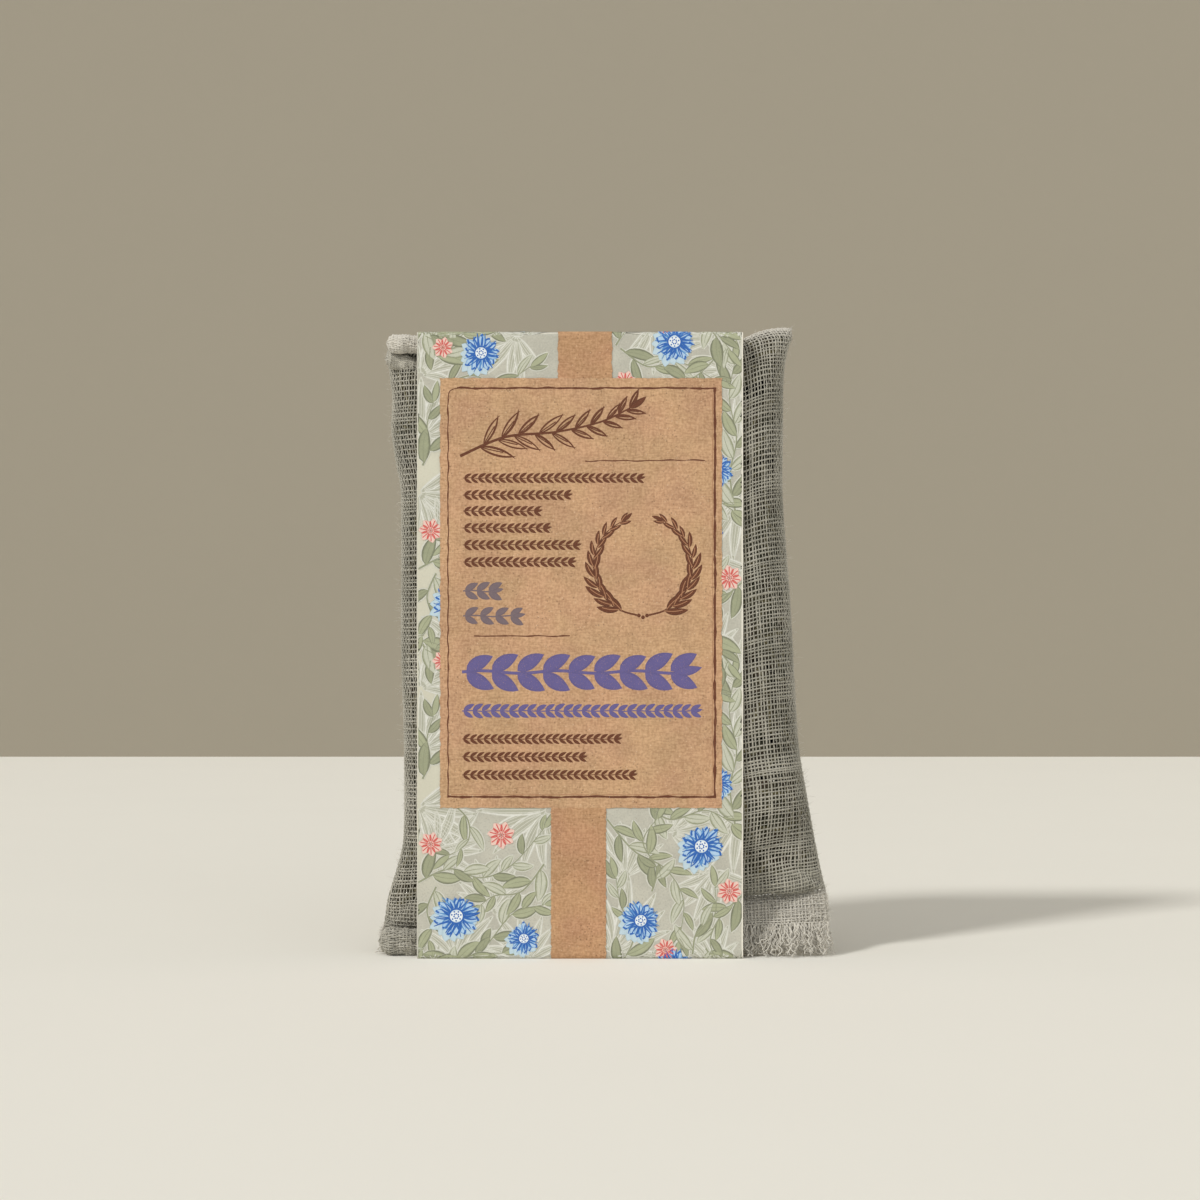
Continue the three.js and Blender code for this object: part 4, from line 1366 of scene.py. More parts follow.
def draw_label(ink):
    """The front panel: a rough border, a sprig, a wreath, rules, and rows of little branches."""
    left, right, low, high = px(448), px(715), pz(797), pz(388)
    rough_rule(ink, [(px(457), high), (right, high)], 0.2, "ink", 600)
    rough_rule(ink, [(right, high + 0.2), (right, low)], 0.25, "ink", 603)
    rough_rule(ink, [(right + 0.2, low), (left, low)], 0.22, "ink", 606)
    rough_rule(ink, [(left, low - 0.2), (left, high - 2.4)], 0.13, "ink", 609)
    rough_rule(ink, [(right - 0.5, high - 1), (right - 0.5, low + 1)], 0.07, "pale_ink", 612)
    rough_rule(ink, [(left + 0.5, low + 0.5), (right - 1, low + 0.5)], 0.07, "pale_ink", 615)
    corner = [(left, high - 2.6), (left + 0.25, high - 0.9), (left + 1.1, high - 0.25), (left + 2.4, high)]
    ink.ribbons(curve(corner, 12), 0.1, "ink", INK_LAYER)
    draw_sprig(ink, [(px(x), pz(y)) for x, y in SPRIG], 8.2, "ink", 620, True)
    rough_rule(ink, [(px(585), pz(461)), (px(705), pz(460))], 0.12, "ink", 621)
    for i, (y, end) in enumerate(SMALL_ROWS):
        leaf_row(ink, px(ROW_START), px(end), pz(y), SMALL_ROW, "ink", 630 + i)
    for y, end, *look in VIOLET_ROWS:
        leaf_row(ink, px(ROW_START), px(end), pz(y), *look)
    rough_rule(ink, [(px(474), pz(636)), (px(570), pz(636))], 0.13, "ink", 645)
    draw_wreath(ink, px(643), pz(566), 11.0, "ink")
    for y, end, *look in PURPLE_ROWS:
        leaf_row(ink, px(LOWER_START), px(end), pz(y), *look)
    for i, (y, end) in enumerate(LOWER_ROWS):
        leaf_row(ink, px(LOWER_START), px(end), pz(y), SMALL_ROW, "ink", 660 + i)


def draw_back_label(ink):
    """The back panel, read from behind: a rough border, a wreath and rows of leaves."""
    left, right, low, high = BACK_PANEL
    inset = 2.4
    sides, ends = (left + inset, right - inset), (low + inset, high - inset)
    corners = [(sides[i], ends[j]) for i, j in ((0, 0), (1, 0), (1, 1), (0, 1), (0, 0))]
    for i in range(4):
        rough_rule(ink, corners[i : i + 2], 0.26, "ink", 700 + 3 * i)
    draw_wreath(ink, 0, low + 16, 8.5, "ink", -1)
    for i, share in enumerate(BACK_ROWS):
        row = low + BACK_ROWS_LOW + BACK_ROW_STEP * i
        leaf_row(ink, right - 5, right - 5 - share * (right - left - 10), row, 2.6, "ink", 720 + i)


def kraft_patch(left, right, low, high, seed, layer=KRAFT_LAYER):
    """A printed field of kraft on the unfolded sleeve, its edges a little rough like torn paper's."""
    columns = max(6, int((right - left) / 0.8))
    rows = max(8, int((high - low) / 0.5))
    s, x = np.meshgrid(np.linspace(low, high, rows), np.linspace(left, right, columns), indexing="ij")
    edge = np.linspace(-1, 1, columns) ** 7
    x = x + edge * 0.07 * waves(seed, 20, 7, 1.0, s)
    rim = np.linspace(-1, 1, rows)[:, None] ** 31
    s = s + rim * 0.07 * waves(seed + 1, 20, 7, 1.0, x)
    points = wrapped(np.clip(x, -PRINT_EDGE, PRINT_EDGE), s, (layer + 1) * LAYER_LIFT + 0 * x)
    flat = np.stack([x / 400 + 0.5, (s + 80) / 400], -1)
    return points.reshape(-1, 3), grid_faces(rows, columns), flat.reshape(-1, 2)


def kraft_panels():
    """The front panel and the back one."""
    return joined(kraft_patch(*PANEL, 800, KRAFT_LAYER + 1), kraft_patch(*BACK_PANEL, 806, KRAFT_LAYER + 1))


def kraft_strips():
    """The strips that join the panels over the top, run on down the back, and pass under the bottom."""
    return joined(
        kraft_patch(*UPPER_STRIP, PANEL[3] - 0.5, BACK_PANEL[2] + 0.5, 803),
        kraft_patch(*UPPER_STRIP, BACK_PANEL[3] - 0.5, PRINT_END - 0.1, 809),
        kraft_patch(*LOWER_STRIP, PRINT_START + 0.1, PANEL[2] + 0.5, 812),
    )


# Settings


def amount(name, description, value, **more):
    """A number of at least zero in the panel."""
    return bpy.props.FloatProperty(name=name, description=description, default=value, min=0, **more)


def length(name, description, value):
    """A length in the panel, given in millimetres."""
    return amount(name, description, value * MM, precision=5, unit="LENGTH")


def share(name, description, value):
    """A share of one in the panel."""
    return amount(name, description, value, max=1, subtype="FACTOR")


def whole(name, description, value, least):
    """A whole number in the panel."""
    return bpy.props.IntProperty(name=name, description=description, default=value, min=least)


def colour(name, description, *screen):
    """A colour in the panel, given in 0 to 255 screen numbers."""
    return bpy.props.FloatVectorProperty(
        name=name, description=description, default=srgb(*screen), size=3, min=0, max=1, subtype="COLOR"
    )


class SachetCloth(bpy.types.PropertyGroup):
    """The pouch's gauze, its yarns and its filling."""

    warps: whole("Warps", "Yarns that run down each face", 126, 20)
    wefts: whole("Wefts", "Yarns that run across each face", 146, 20)
    hem_wefts: whole("Hem wefts", "Yarns across the hem", 11, 3)
    yarn_width: length("Yarn width", "Width of a yarn, pressed flat by the weave", 0.35)
    yarn_thickness: length("Yarn thickness", "Thickness of a yarn through the cloth", 0.26)
    wander: length("Wander", "How far a yarn strays from its even place", 0.035)
    slubs: share("Slubs", "How unevenly the yarns are spun", 0.2)
    allowance: length("Seam allowance", "Width of the turned-in edges inside the seams", 2.2)
    gauze: colour("Gauze", "Colour of the undyed yarn", 182, 178, 165)
    gauze_shade: colour("Gauze shade", "Colour of its greyer yarns", 151, 148, 135)
    # The leaf colours are darker than the leaves' own olive and brown alone: partly their colour, partly
    # painted shade for the dim inside of the filled pouch, seen through the weave.
    leaf: colour("Leaf", "Colour of the dried bay leaves", 62, 61, 41)
    leaf_brown: colour("Leaf brown", "Colour of their dry edges and backs", 68, 54, 37)


class SachetPrint(bpy.types.PropertyGroup):
    """The printed card sleeve."""

    card: colour("Card", "Printed ground of the sleeve", 184, 182, 169)
    board: colour("Board", "Bare board inside the sleeve and on its cut edges", 226, 221, 208)
    frond: colour("Fronds", "Pale leaves behind the pattern", 173, 173, 156)
    sage: colour("Sage", "The pattern's leaves", 164, 168, 138)
    blue: colour("Blue", "The pattern's blooms", 40, 98, 178)
    coral: colour("Coral", "The pattern's small flowers", 210, 92, 86)
    kraft: colour("Kraft", "The label's brown paper print", 193, 152, 115)
    ink: colour("Ink", "The label's brown ink", 88, 46, 25)
    purple: colour("Purple", "The label's purple ink", 96, 88, 140)


class SachetStage(bpy.types.PropertyGroup):
    """The floor, the lights and the camera."""

    floor: colour("Floor", "Colour of the floor", 240, 238, 230)
    wall: colour("Wall", "Colour of the backdrop", 158, 151, 136)
    key: amount("Key light", "Strength of the light from the left", 1.75)
    key_angle: amount("Key width", "Width of the key light from the sachet", np.radians(9), subtype="ANGLE")
    fill: amount("Fill light", "Power of the fill light", 11.0, unit="POWER")
    sky: amount("Sky", "Strength of the light from all round", 0.59)
    distance: length("Camera distance", "From the camera to the middle of the sleeve", 642)
    lens: amount("Lens", "Focal length", 0.085, unit="CAMERA")


# Materials


def tone_colours():
    """Each printed tone's fill and the colour that it pools to at its edges."""
    inks = bpy.context.scene.sachet_print
    paper = srgb(217, 217, 209)
    sage, blue, coral, ink, purple = (
        np.array(tint[:]) for tint in (inks.sage, inks.blue, inks.coral, inks.ink, inks.purple)
    )
    olive = sage * 0.48
    return {
        "frond": (inks.frond[:], paper),
        "halo": (srgb(207, 207, 196), srgb(199, 199, 187)),
        "sage": (sage, olive),
        "deep_sage": (sage * 0.84, olive),
        "pale_sage": (sage * 0.55 + 0.45 * np.array(paper), sage * 0.75),
        "stem": (sage * 0.8, olive),
        "pale_blue": (srgb(186, 206, 216), srgb(176, 198, 210)),
        "blue_wash": (srgb(170, 199, 226), srgb(118, 162, 208)),
        "blue": (srgb(84, 138, 196), srgb(84, 138, 196)),
        "blue_line": (blue, blue * 0.8),
        "paper": (srgb(226, 233, 236), srgb(190, 209, 224)),
        "coral": (coral, coral * 0.85),
        "ink": (ink * 1.25, ink * 0.9),
        "pale_ink": (srgb(170, 124, 90), srgb(160, 112, 80)),
        "purple": (purple, purple * 0.9),
        "violet": (srgb(112, 98, 104), srgb(104, 90, 98)),
        "pink": (srgb(228, 196, 184), srgb(216, 170, 158)),
    }


# From this share of wear on, ink lies on kraft and not on the printed card.
KRAFT_WEAR = 0.3


def ink_material(name, worn):
    """Print on card: the map's first part picks the tone, pooled darker or paler at the edges of each stroke,
    and thin places let the paper through."""
    colours = tone_colours()
    recipe = Recipe(name, Roughness=0.6, Specular_IOR_Level=0.35)
    across, along = recipe.map_place()
    column = across * len(TONES)
    inside = abs(column.fract() - 0.5)
    fill, edge = (
        recipe.stepped(across, [(i / len(TONES), colours[tone][part]) for i, tone in enumerate(TONES)])
        for part in range(2)
    )
    grain = recipe.noise(recipe.vector(column * 3.0, along * 18.0), 1.0, 5.0)
    rim = recipe.ramp(inside + grain * 0.12, 0.31, 0.47)
    pooled = recipe.mix(rim, fill, edge)
    patch = recipe.noise(recipe.vector(column * 2.0 + 9.0, along * 9.0), 1.0, 3.0)
    speck = recipe.noise(recipe.vector(column * 11.0, along * 50.0), 1.0)
    toned = recipe.darken(pooled, 0.76 + patch * 0.22 + speck * 0.26)
    thin = recipe.ramp(recipe.noise(recipe.vector(column * 14.0, along * 60.0), 1.0, 4.0), 0.6, 0.7) * worn
    inks = bpy.context.scene.sachet_print
    ground = inks.kraft if worn > KRAFT_WEAR else inks.card
    return recipe.finish(Base_Color=recipe.mix(thin, toned, ground[:]))


def kraft_material(name, tint):
    """Brown kraft: cloudy, with fine fibres lying mostly across, a coarse grain, dark flecks and pale ones.
    The whole is multiplied by a tint."""
    kraft = np.array(bpy.context.scene.sachet_print.kraft[:])
    recipe = Recipe(name, Roughness=0.82, Specular_IOR_Level=0.25)
    here = recipe.place()
    clouds = recipe.noise(here, 8.0, 4.0)
    grain = recipe.noise(here, 0.55, 4.0)
    fibres = recipe.noise(here, 0.3, stretch=(6, 6, 1))
    threads = recipe.noise(here, 0.3, stretch=(1, 1, 5))
    tone = recipe.mix(recipe.ramp(clouds, 0.36, 0.64), kraft * 0.87, kraft * 1.08)
    warmth = recipe.ramp(recipe.noise(recipe.moved(here, 57.0), 11.0, 3.0), 0.35, 0.65)
    tone = recipe.mix(0.3, tone, recipe.mix(warmth, srgb(202, 150, 118), srgb(200, 164, 119)))
    texture = recipe.ramp(grain * 0.5 + fibres * 0.3 + threads * 0.2, 0.36, 0.64)
    tone = recipe.mix(texture, recipe.darken(tone, 0.76), recipe.mix(0.2, tone, srgb(228, 200, 168)))
    patchy = recipe.ramp(recipe.noise(here, 5.0), 0.42, 0.6)
    flecks = recipe.ramp(recipe.cells(here, 0.95), 0.26, 0.1) * patchy
    tone = recipe.mix(flecks * 0.7, tone, kraft * 0.4)
    pale = recipe.ramp(recipe.cells(recipe.moved(here, 31.0), 1.3), 0.14, 0.06)
    tone = recipe.mix(pale * 0.45, tone, srgb(226, 202, 174))
    tone = recipe.vectors("MULTIPLY", tone, tint)
    recipe.bump(grain * 0.6 + fibres * 0.4, 0.04, 0.6)
    return recipe.finish(Base_Color=tone)


def card_material():
    """The sleeve's board: a cloudy printed ground outside, with fine speckle, and bare paler board inside, on
    the cut edges and where the folds have rubbed."""
    inks = bpy.context.scene.sachet_print
    card, board = np.array(inks.card[:]), inks.board[:]
    recipe = Recipe("printed_card", Roughness=0.62, Specular_IOR_Level=0.35)
    here = recipe.place()
    x, y, z = recipe.split(here)
    clouds = recipe.noise(here, 7.0, 4.0)
    speckle = recipe.noise(here, 0.4, 3.0)
    tone = recipe.mix(recipe.ramp(clouds, 0.35, 0.65), card * 0.93, card * 1.07)
    tone = recipe.mix(recipe.ramp(speckle, 0.5, 0.7) * 0.6, tone, card * 0.78)
    tone = recipe.mix(recipe.ramp(speckle, 0.46, 0.3) * 0.5, tone, card * 1.16)
    dots = recipe.ramp(recipe.cells(here, 1.6), 0.1, 0.05)
    tone = recipe.mix(dots * 0.5, tone, srgb(150, 132, 108))
    middle = SLEEVE_HEIGHT / 2
    # A paler band down the left edge near the middle: partly the print's paler ground, partly painted light
    # falling from the left.
    left_print_and_light = recipe.ramp(x * -1.0, 28.0, 32.0) * recipe.ramp(abs(z - middle), 60.0, 40.0)
    tone = recipe.mix(left_print_and_light * 0.6, tone, srgb(214, 211, 190))
    in_step = recipe.ramp(z, LAP_STEP, LAP_STEP + LAP_STEP_RUN) * y.over(0.0) * (1 - z.over(LAP_EDGE - 0.05))
    depth = (HALF_DEPTH - abs(y)).least(middle - abs(z - middle)) - in_step * LAP_DEPTH
    inner = recipe.ramp(depth, CARD * 0.45, CARD * 0.55)
    right_cut = recipe.ramp(x, HALF_WIDTH - 0.36, HALF_WIDTH - 0.3)
    cut = right_cut.most(recipe.ramp(x * -1.0, HALF_WIDTH - 0.1, HALF_WIDTH))
    corner = (HALF_DEPTH - abs(y)) + (middle - abs(z - middle))
    worn = recipe.ramp(corner + recipe.noise(here, 1.2, 4.0) * 1.2, 1.15, 0.75) * 0.6
    tone = recipe.mix(inner.most(cut).most(worn), tone, board)
    recipe.bump(recipe.noise(here, 0.25, 3.0) * 0.6 + recipe.noise(here, 2.5), 0.02, 0.4)
    return recipe.finish(Base_Color=tone)


def gauze_material(name, pale):
    """Undyed yarn: greyer and paler yarns by turns, streaked along their fibres, on the cloth's own map. Its
    top edge and its hem are paler, partly for their fuzzier cloth and partly as painted highlight where they
    catch the light, and the pale share paints the whole lighter, as a painted highlight, or less of it in
    shade."""
    cloth = bpy.context.scene.sachet_cloth
    recipe = Recipe(name, Roughness=0.9, Specular_IOR_Level=0.15, Sheen_Weight=0.15, Sheen_Roughness=0.6)
    across, along = recipe.map_place()
    here = recipe.vector(across * MAP_SPAN, along * MAP_SPAN)
    blotch = recipe.noise(here, 14.0, 3.0)
    down = recipe.noise(here, 0.75, stretch=(1, 30, 1))
    over = recipe.noise(here, 0.8, stretch=(30, 1, 1))
    streaks = recipe.ramp(blotch * 0.5 + down * 0.25 + over * 0.25, 0.36, 0.64)
    tone = recipe.mix(streaks, cloth.gauze_shade[:], cloth.gauze[:])
    down_cloth = along * MAP_SPAN
    # Painted highlight, in part: the top edge and the hem are made paler, partly for their fuzzier cloth.
    ends = recipe.ramp(down_cloth, 142.0, 144.0).most(recipe.ramp(down_cloth, 9.0, 1.5) * 0.9)
    tone = recipe.mix(ends.most(pale) * 0.8, tone, srgb(218, 213, 202))
    fibre = recipe.noise(here, 0.16, 3.0)
    tone = recipe.darken(tone, 0.84 + fibre * 0.3)
    recipe.bump(fibre, 0.05, 0.6)
    return recipe.finish(Base_Color=tone)


def leaf_material():
    """A dried bay leaf: olive, browner towards its rim and in blotches, with a paler middle vein."""
    cloth = bpy.context.scene.sachet_cloth
    green, brown = np.array(cloth.leaf[:]), np.array(cloth.leaf_brown[:])
    recipe = Recipe("bay_leaf", Roughness=0.55, Specular_IOR_Level=0.4)
    across, along = recipe.map_place()
    reach = abs(across - 0.5) * MAP_SPAN
    blade = along * MAP_SPAN
    here = recipe.vector(across * MAP_SPAN, blade * LEAF_STRETCH)
    blotch = recipe.noise(here, 7.0, 4.0)
    vein = recipe.ramp(reach, 0.5, 0.2)
    side = recipe.ramp(((blade * LEAF_STRETCH - reach * VEIN_SLANT) / VEIN_GAP).fract(), 0.12, 0.04)
    tone = recipe.mix(recipe.ramp(blotch, 0.4, 0.66), green, brown)
    tone = recipe.mix(recipe.ramp(reach, 8.0, 13.0) * 0.6, tone, brown)
    tone = recipe.mix(vein.most(side * 0.35), tone, srgb(118, 110, 76))
    recipe.bump(recipe.noise(here, 0.8, 4.0), 0.08, 0.5)
    return recipe.finish(Base_Color=tone)


def thread_material(painted_shade=1.0):
    """Spun sewing thread, with its twist as slanted stripes, darkened by a share of painted shade for
    stitches that lie in shadow.
    """
    recipe = Recipe("sewing_thread", Roughness=0.7, Sheen_Weight=0.2)
    here = recipe.place()
    x, y, z = recipe.split(here)
    twist = ((x + z * 1.3 + y) / 0.5).fract()
    tone = recipe.mix(recipe.ramp(twist, 0.3, 0.7), srgb(168, 163, 148), srgb(196, 191, 178))
    tone = recipe.darken(tone, (0.88 + recipe.noise(here, 0.3) * 0.24) * painted_shade)
    recipe.bump(twist, 0.04, 0.4)
    return recipe.finish(Base_Color=tone)


def tape_material():
    """Clear tape over the lap: thin, glossy, a little yellow and rippled."""
    recipe = Recipe("clear_tape", Roughness=0.16, Alpha=0.32, IOR=1.45)
    here = recipe.place()
    ripple = recipe.noise(here, 5.0, 3.0)
    tone = recipe.mix(ripple, srgb(232, 224, 200), srgb(214, 205, 176))
    recipe.bump(ripple, 0.06, 0.5)
    return recipe.finish(Base_Color=tone)


# Operators


def cloth_piece(name, part, replaces=(), pale=0.0):
    """A set of yarns as a piece of the pouch."""
    # The pale share paints a piece lighter: a painted highlight, or painted shade where it is kept low.
    piece = new_piece(name, part, gauze_material(name, pale), "pouch", replaces)
    return piece


# Each face's side of the sleeve's middle and its name.
FACES = ((-1, "front"), (1, "back"))

# The height of a face along its cloth, how far inside the faces the allowances at the sides, the top and the
# closing seam and the hem's lining lie, and the wefts of the last two.
FACE_HEIGHT = 137
SIDE_INSET, TOP_INSET, LOW_INSET, LINING_INSET = 0.62, 1.15, 0.4, 0.3
LOW_WEFTS, LINING_WEFTS = 14, 12


class SACHET_OT_pouch(bpy.types.Operator):
    """Weave the pouch's two faces, with their hem, over the simulated cloth"""

    bl_idname = "sachet.pouch"
    bl_label = "Pouch"

    def execute(self, context):
        cloth = context.scene.sachet_cloth
        last = CLOTH_ROWS - 1
        for side, face in FACES:
            warps = yarn_places(cloth.warps, 0, 1, WARP_SEED)
            wefts = yarn_places(cloth.wefts, 0.2, last - 0.3, WEFT_SEED + side, 0.1, 0.09, 0.3)
            hem = yarn_places(cloth.hem_wefts, last + 0.35, last + HEM_ROWS, WEFT_SEED + 3 + side, 0.15)
            grid = cloth_face(side)
            warp, weft = weave(grid, side, warps, np.concatenate([wefts, hem]), 20 + side)
            cloth_piece(f"{face}_cloth_warp", warp, (f"pouch_{face}_cloth",))
            cloth_piece(f"{face}_cloth_weft", weft, (f"pouch_{face}_cloth",))
        return {"FINISHED"}


class SACHET_OT_allowances(bpy.types.Operator):
    """Weave the turned-in seam allowances inside the side and top seams, and the hem's inner layers"""

    bl_idname = "sachet.allowances"
    bl_label = "Seam allowances"

    def execute(self, context):
        cloth = context.scene.sachet_cloth
        last = CLOTH_ROWS - 1
        reach = cloth.allowance / MM
        across = int(reach / POUCH_FLAT_WIDTH * cloth.warps)
        down = int(reach / FACE_HEIGHT * cloth.wefts)
        rows = yarn_places(cloth.wefts, 0.4, last - 1.5, WEFT_SEED + 7)
        columns = yarn_places(cloth.warps, 0.01, 0.99, WARP_SEED + 7)
        share = reach / POUCH_FLAT_WIDTH
        first, final = WARP_SPAN
        left = yarn_places(across, first, share, 31)
        right = yarn_places(across, 1 - share, final, 32)
        top = yarn_places(down, 0.3, reach / FACE_HEIGHT * last, 33)
        low = yarn_places(LOW_WEFTS, last - 5.6, last - 0.25, 35)
        hem = yarn_places(LINING_WEFTS, last + 0.5, last + HEM_ROWS - 0.15, 34)
        for side, face in FACES:
            grid = cloth_face(side)
            cloth_piece(f"{face}_seam_allowance", joined(
                *weave(grid, side, left, rows, 40 + side, SIDE_INSET),
                *weave(grid, side, right, rows, 42 + side, SIDE_INSET),
                *weave(grid, side, columns, top, 44 + side, TOP_INSET),
                *weave(grid, side, columns, low, 48 + side, LOW_INSET),
            ))
            lining = weave(grid, side, columns, hem, 46 + side, LINING_INSET)
            # The lining is painted pale, a painted highlight, so that the hem's holes show light and not
            # dark.
            cloth_piece(f"{face}_hem_lining", joined(*lining), pale=1.0)
        return {"FINISHED"}


# The closing stitches: their length, half the thread's width, its points, and its height and rise.
STITCH_LENGTH, THREAD_HALF_WIDTH, THREAD_POINTS = 3.0, 0.13, 260
STITCH_LOW, STITCH_RISE = 0.02, 0.26


class SACHET_OT_hem(bpy.types.Operator):
    """Make the frayed ends below the hem, the rolled corners, the closing stitches and the stray fibres"""

    bl_idname = "sachet.hem"
    bl_label = "Hem, corner and fibres"

    def execute(self, context):
        makers = ((fringe, FRINGE_SEED), (loose_wefts, LOOSE_SEED))
        parts = [maker(side, seed + side) for maker, seed in makers for side in (-1, 1)]
        cloth_piece("hem_fringe", joined(*parts))
        for name, place, pale in ROLLS:
            seed = place[-1]
            layers = []
            for layer, inset in enumerate(ROLL_INSETS):
                warps = yarn_places(ROLL_WARPS, 0, 1, seed + 5 + 2 * layer)
                wefts = yarn_places(ROLL_WEFTS, 0, ROLL_ROWS - 1, seed + 6 + 2 * layer)
                layers += weave(roll(*place), 1, warps, wefts, seed + 10 + layer, inset)
            cloth_piece(name, joined(*layers), pale=pale)
        self.stitch("closing_needle_stitches", -1, "closing_needle_thread")
        self.stitch("closing_bobbin_stitches", 1, "closing_bobbin_thread")
        self.fibres()
        return {"FINISHED"}

    @staticmethod
    def stitch(name, side, node):
        """A sewn thread along the closing seam: it lies on the cloth and dips into it between stitches."""
        low, high = box_mm(node)
        x = np.linspace(low[0], high[0], THREAD_POINTS)[None, :]
        rise = np.abs(np.sin(np.pi * (x - low[0]) / STITCH_LENGTH)) ** 0.5
        y = side * (STITCH_LOW + STITCH_RISE * rise)
        points = np.stack([x, y, closing_seam(x) - 0.1 + 0.1 * rise], -1)
        thread = tubes(points, (0, side, 0), THREAD_HALF_WIDTH, THREAD_HALF_WIDTH)
        # Painted shade: the closing stitches are darkened to 0.6, as they lie in the shadow of the lip.
        new_piece(name, (*thread, None), thread_material(0.6), "pouch", (node,))

    @staticmethod
    def fibres():
        """Fine hairs that stand off both faces, the hem and the rolls, and off the fringe."""
        rng = np.random.default_rng(70)
        sets = [(side, cloth_face(side), FACE_HAIRS) for side in (-1, 1)]
        sets += [(side, cloth_face(side)[-HEM_ROWS - 1 :], HEM_HAIRS) for side in (-1, 1)]
        sets += [(1, roll(*place), ROLL_HAIRS) for _, place, _ in ROLLS]
        parts = []
        for i, (side, grid, number) in enumerate(sets):
            rows, columns = grid.shape[:2]
            edges = np.clip(rng.beta(0.5, 0.5, number), 0.001, 0.999)
            down, across = rng.uniform(0, rows - 1.01, number), edges * (columns - 1)
            start = on_surface(grid, down, across)
            slope_down = on_surface(grid, down + 0.3, across) - start
            slope_across = on_surface(grid, down, across + 0.3) - start
            outward = side * unit(np.cross(slope_across, slope_down))
            parts.append(hairs(71 + i, start + outward * 0.2, outward, *CLOTH_HAIR))
        cloth_piece("cloth_fibres", joined(*parts))
        parts = []
        for side in (-1, 1):
            ends = fringe(side, FRINGE_SEED + side)[0]
            start = ends[rng.integers(0, len(ends), FRINGE_HAIRS)]
            parts.append(hairs(88 + side, start, np.array((0.0, side, 0.3)), *FRINGE_HAIR))
        cloth_piece("fringe_fibres", joined(*parts))


class SACHET_OT_leaves(bpy.types.Operator):
    """Make the dried bay leaves that fill the pouch, layer by layer, and the bits that have broken off"""

    bl_idname = "sachet.leaves"
    bl_label = "Bay leaves"

    def execute(self, context):
        material = leaf_material()
        first = 1
        for layer in range(LEAF_LAYERS):
            count = len(UPRIGHT_LAYER_SHARES if layer % 2 == 0 else SLANTED_LAYER_SHARES)
            nodes = [f"bay_leaf_{number:02d}" for number in range(first, first + count)]
            first += count
            name = f"bay_leaves_layer_{layer + 1}"
            new_piece(name, leaf_layer(layer), material, "pouch", nodes)
        for name, seed, skin in (("broken_leaf_front", 81, 0), ("broken_leaf_back", 82, 1)):
            new_piece(name, broken_leaf(BROKEN_BITS, seed, skin), material, "pouch")
        return {"FINISHED"}


class SACHET_OT_seams(bpy.types.Operator):
    """Give the side and top seam threads their finish"""

    bl_idname = "sachet.seams"
    bl_label = "Seam threads"

    def execute(self, context):
        for node in ("left_seam_thread", "right_seam_thread", "top_seam_thread"):
            finish_node(node, thread_material())
        return {"FINISHED"}


class SACHET_OT_sleeve(bpy.types.Operator):
    """Give the card sleeve and its tape their finish"""

    bl_idname = "sachet.sleeve"
    bl_label = "Card sleeve"

    def execute(self, context):
        finish_node("card_sleeve", card_material())
        finish_node("lap_tape", tape_material())
        return {"FINISHED"}


# What the kraft is multiplied by on the strips.
STRIP_TINT = 0.93, 0.87, 0.83


class SACHET_OT_print(bpy.types.Operator):
    """Print the leaf and flower pattern, the kraft fields and the label's ink on the sleeve"""

    bl_idname = "sachet.print"
    bl_label = "Print"

    def execute(self, context):
        leaves, flowers = Print(under_panels=True), Print(under_panels=True)
        draw_pattern(leaves, flowers)
        pattern_ink = ink_material("pattern_ink", 0.25)
        leaves.piece("printed_leaves", pattern_ink)
        flowers.piece("printed_flowers", pattern_ink)
        fields = (("kraft_panels", kraft_panels(), (1, 1, 1)), ("kraft_strips", kraft_strips(), STRIP_TINT))
        for name, part, tint in fields:
            new_piece(name, part, kraft_material(name, tint), "sleeve")
        label = Print()
        draw_label(label)
        draw_back_label(label)
        label.piece("label_ink", ink_material("label_ink", 0.55))
        return {"FINISHED"}


def finish_node(node, material):
    """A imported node's mesh with a material of its own."""
    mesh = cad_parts[node].data
    mesh.materials.clear()
    mesh.materials.append(material)


# The stage in metres: each sheet's corner and its two sides, then the places and tints of the lights.
FLOOR = (-6, -6, 0), (12, 0, 0), (0, 12, 0)
BACKDROP = (-2.5, 0.8, -0.5), (5, 0, 0), (0, 0, 5)
KEY_PLACE, KEY_TINT = (-1.78, -1.72, 2.1), (1, 0.985, 0.96)
FILL_PLACE, FILL_TINT, FILL_SIZE = (0.9, -2.4, 0.7), (0.98, 0.99, 1), 2.0
SKY_TINT = (1, 0.99, 0.97, 1)
SENSOR_WIDTH = 36


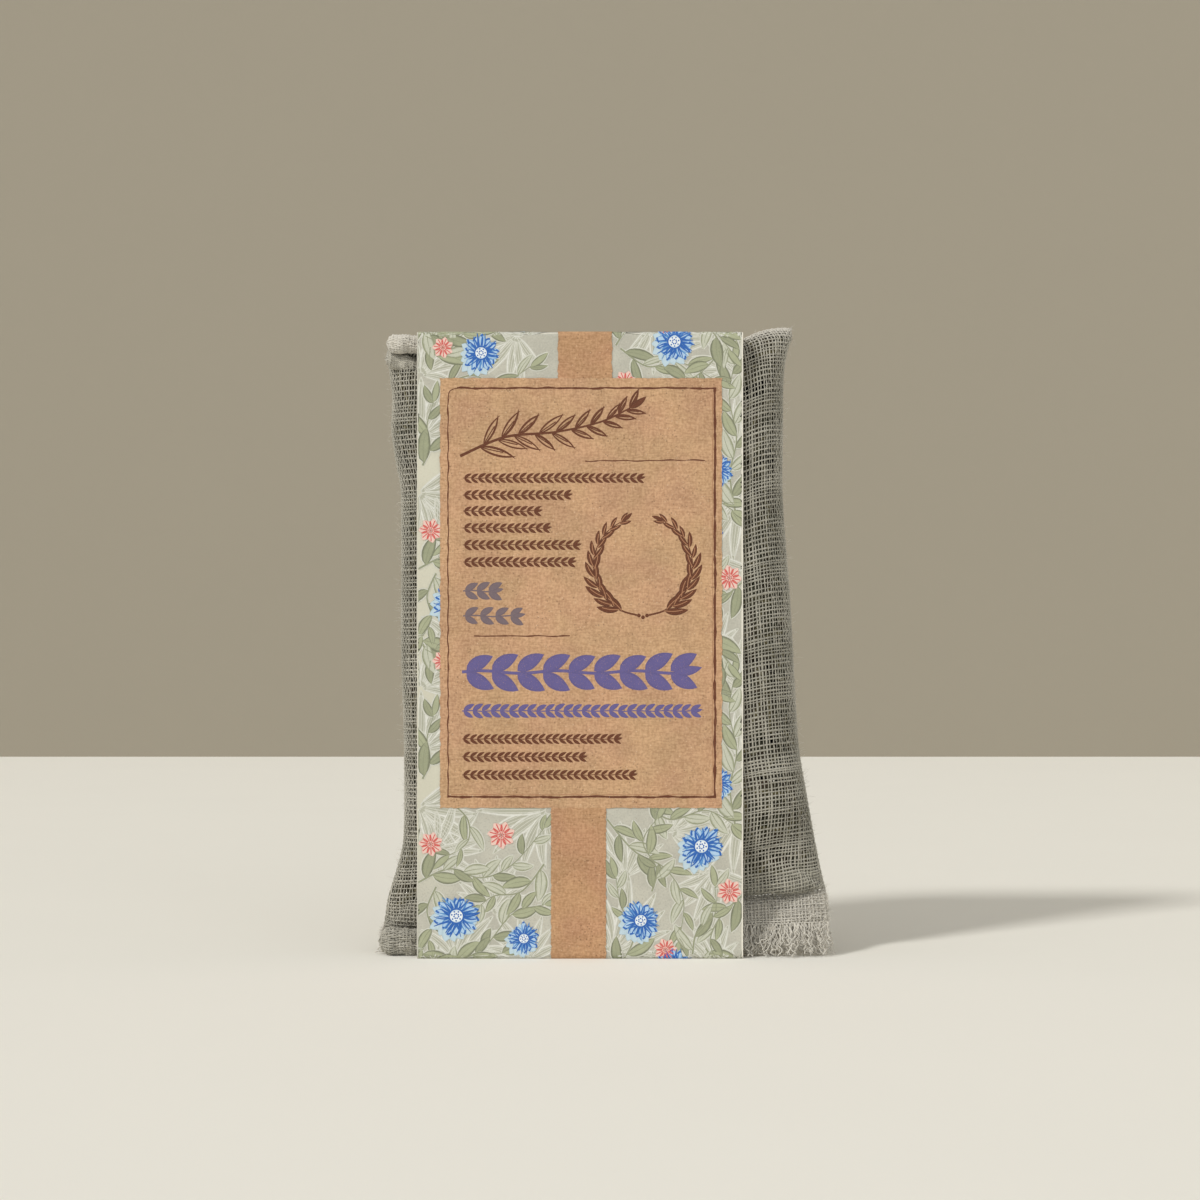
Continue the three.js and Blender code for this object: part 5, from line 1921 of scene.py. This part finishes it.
class SACHET_OT_stage(bpy.types.Operator):
    """Set the floor, the backdrop, the lights and the camera"""

    bl_idname = "sachet.stage"
    bl_label = "Stage"

    def execute(self, context):
        stage = context.scene.sachet_stage
        self.plain_sheet("floor", FLOOR, stage.floor[:])
        self.plain_sheet("backdrop", BACKDROP, stage.wall[:])
        key = self.lamp("key", "SUN", stage.key, KEY_PLACE, KEY_TINT)
        key.angle = stage.key_angle
        fill = self.lamp("fill", "AREA", stage.fill, FILL_PLACE, FILL_TINT)
        fill.size = FILL_SIZE
        world = bpy.data.worlds.new("studio")
        world.use_nodes = True
        background = world.node_tree.nodes["Background"]
        background.inputs["Color"].default_value = SKY_TINT
        background.inputs["Strength"].default_value = stage.sky
        context.scene.world = world
        context.scene.view_settings.view_transform = "Standard"
        camera = new_object("camera", bpy.data.cameras.new("camera"))
        camera.location = (px(PHOTO_MIDDLE) * MM, -stage.distance, pz(PHOTO_MIDDLE) * MM)
        camera.rotation_euler = (np.pi / 2, 0, 0)
        camera.data.lens = stage.lens * 1000
        camera.data.sensor_width = SENSOR_WIDTH
        context.scene.camera = camera
        return {"FINISHED"}

    @staticmethod
    def plain_sheet(name, sides, tint):
        """A flat stage piece with a plain matt finish, from its corner and its two sides."""
        corner, across, up = np.array(sides)
        mesh = bpy.data.meshes.new(name)
        mesh.from_pydata([corner, corner + across, corner + across + up, corner + up], [], [(0, 1, 2, 3)])
        recipe = Recipe(name, Roughness=0.95, Specular_IOR_Level=0.1)
        cloudy = recipe.noise(recipe.place(), 60.0)
        tone = recipe.mix(cloudy, np.array(tint) * 0.985, tint)
        mesh.materials.append(recipe.finish(Base_Color=tone))
        sheet = new_object(name, mesh)

    @staticmethod
    def lamp(name, kind, strength, place, tint):
        """A light of this kind that faces the middle of the sleeve."""
        light = bpy.data.lights.new(name, kind)
        light.energy, light.color = strength, tint
        lamp = new_object(name, light)
        lamp.location = place
        toward = Vector((0, 0, SLEEVE_HEIGHT / 2 * MM)) - Vector(place)
        lamp.rotation_euler = toward.to_track_quat("-Z", "Y").to_euler()
        return light


OPERATORS = (
    SACHET_OT_stage, SACHET_OT_sleeve, SACHET_OT_print, SACHET_OT_leaves, SACHET_OT_seams,
    SACHET_OT_allowances, SACHET_OT_pouch, SACHET_OT_hem,
)

SETTINGS = {"sachet_cloth": SachetCloth, "sachet_print": SachetPrint, "sachet_stage": SachetStage}


class SACHET_PT_panel(bpy.types.Panel):
    """The sachet's settings and the buttons that make its pieces"""

    bl_label = "Scented Sachet"
    bl_space_type = "VIEW_3D"
    bl_region_type = "UI"
    bl_category = "Sachet"

    def draw(self, context):
        for group in SETTINGS:
            settings = getattr(context.scene, group)
            box = self.layout.box()
            for name in settings.__annotations__:
                box.prop(settings, name)
        for operator in OPERATORS:
            self.layout.operator(operator.bl_idname)


CLASSES = (*SETTINGS.values(), *OPERATORS, SACHET_PT_panel)


def register():
    for cls in CLASSES:
        bpy.utils.register_class(cls)
    for name, group in SETTINGS.items():
        setattr(bpy.types.Scene, name, bpy.props.PointerProperty(type=group))


def unregister():
    for name in SETTINGS:
        delattr(bpy.types.Scene, name)
    for cls in reversed(CLASSES):
        bpy.utils.unregister_class(cls)


def main():
    register()
    for operator in OPERATORS:
        group, name = operator.bl_idname.split(".")
        getattr(getattr(bpy.ops, group), name)()


if __name__ == "__main__":
    main()
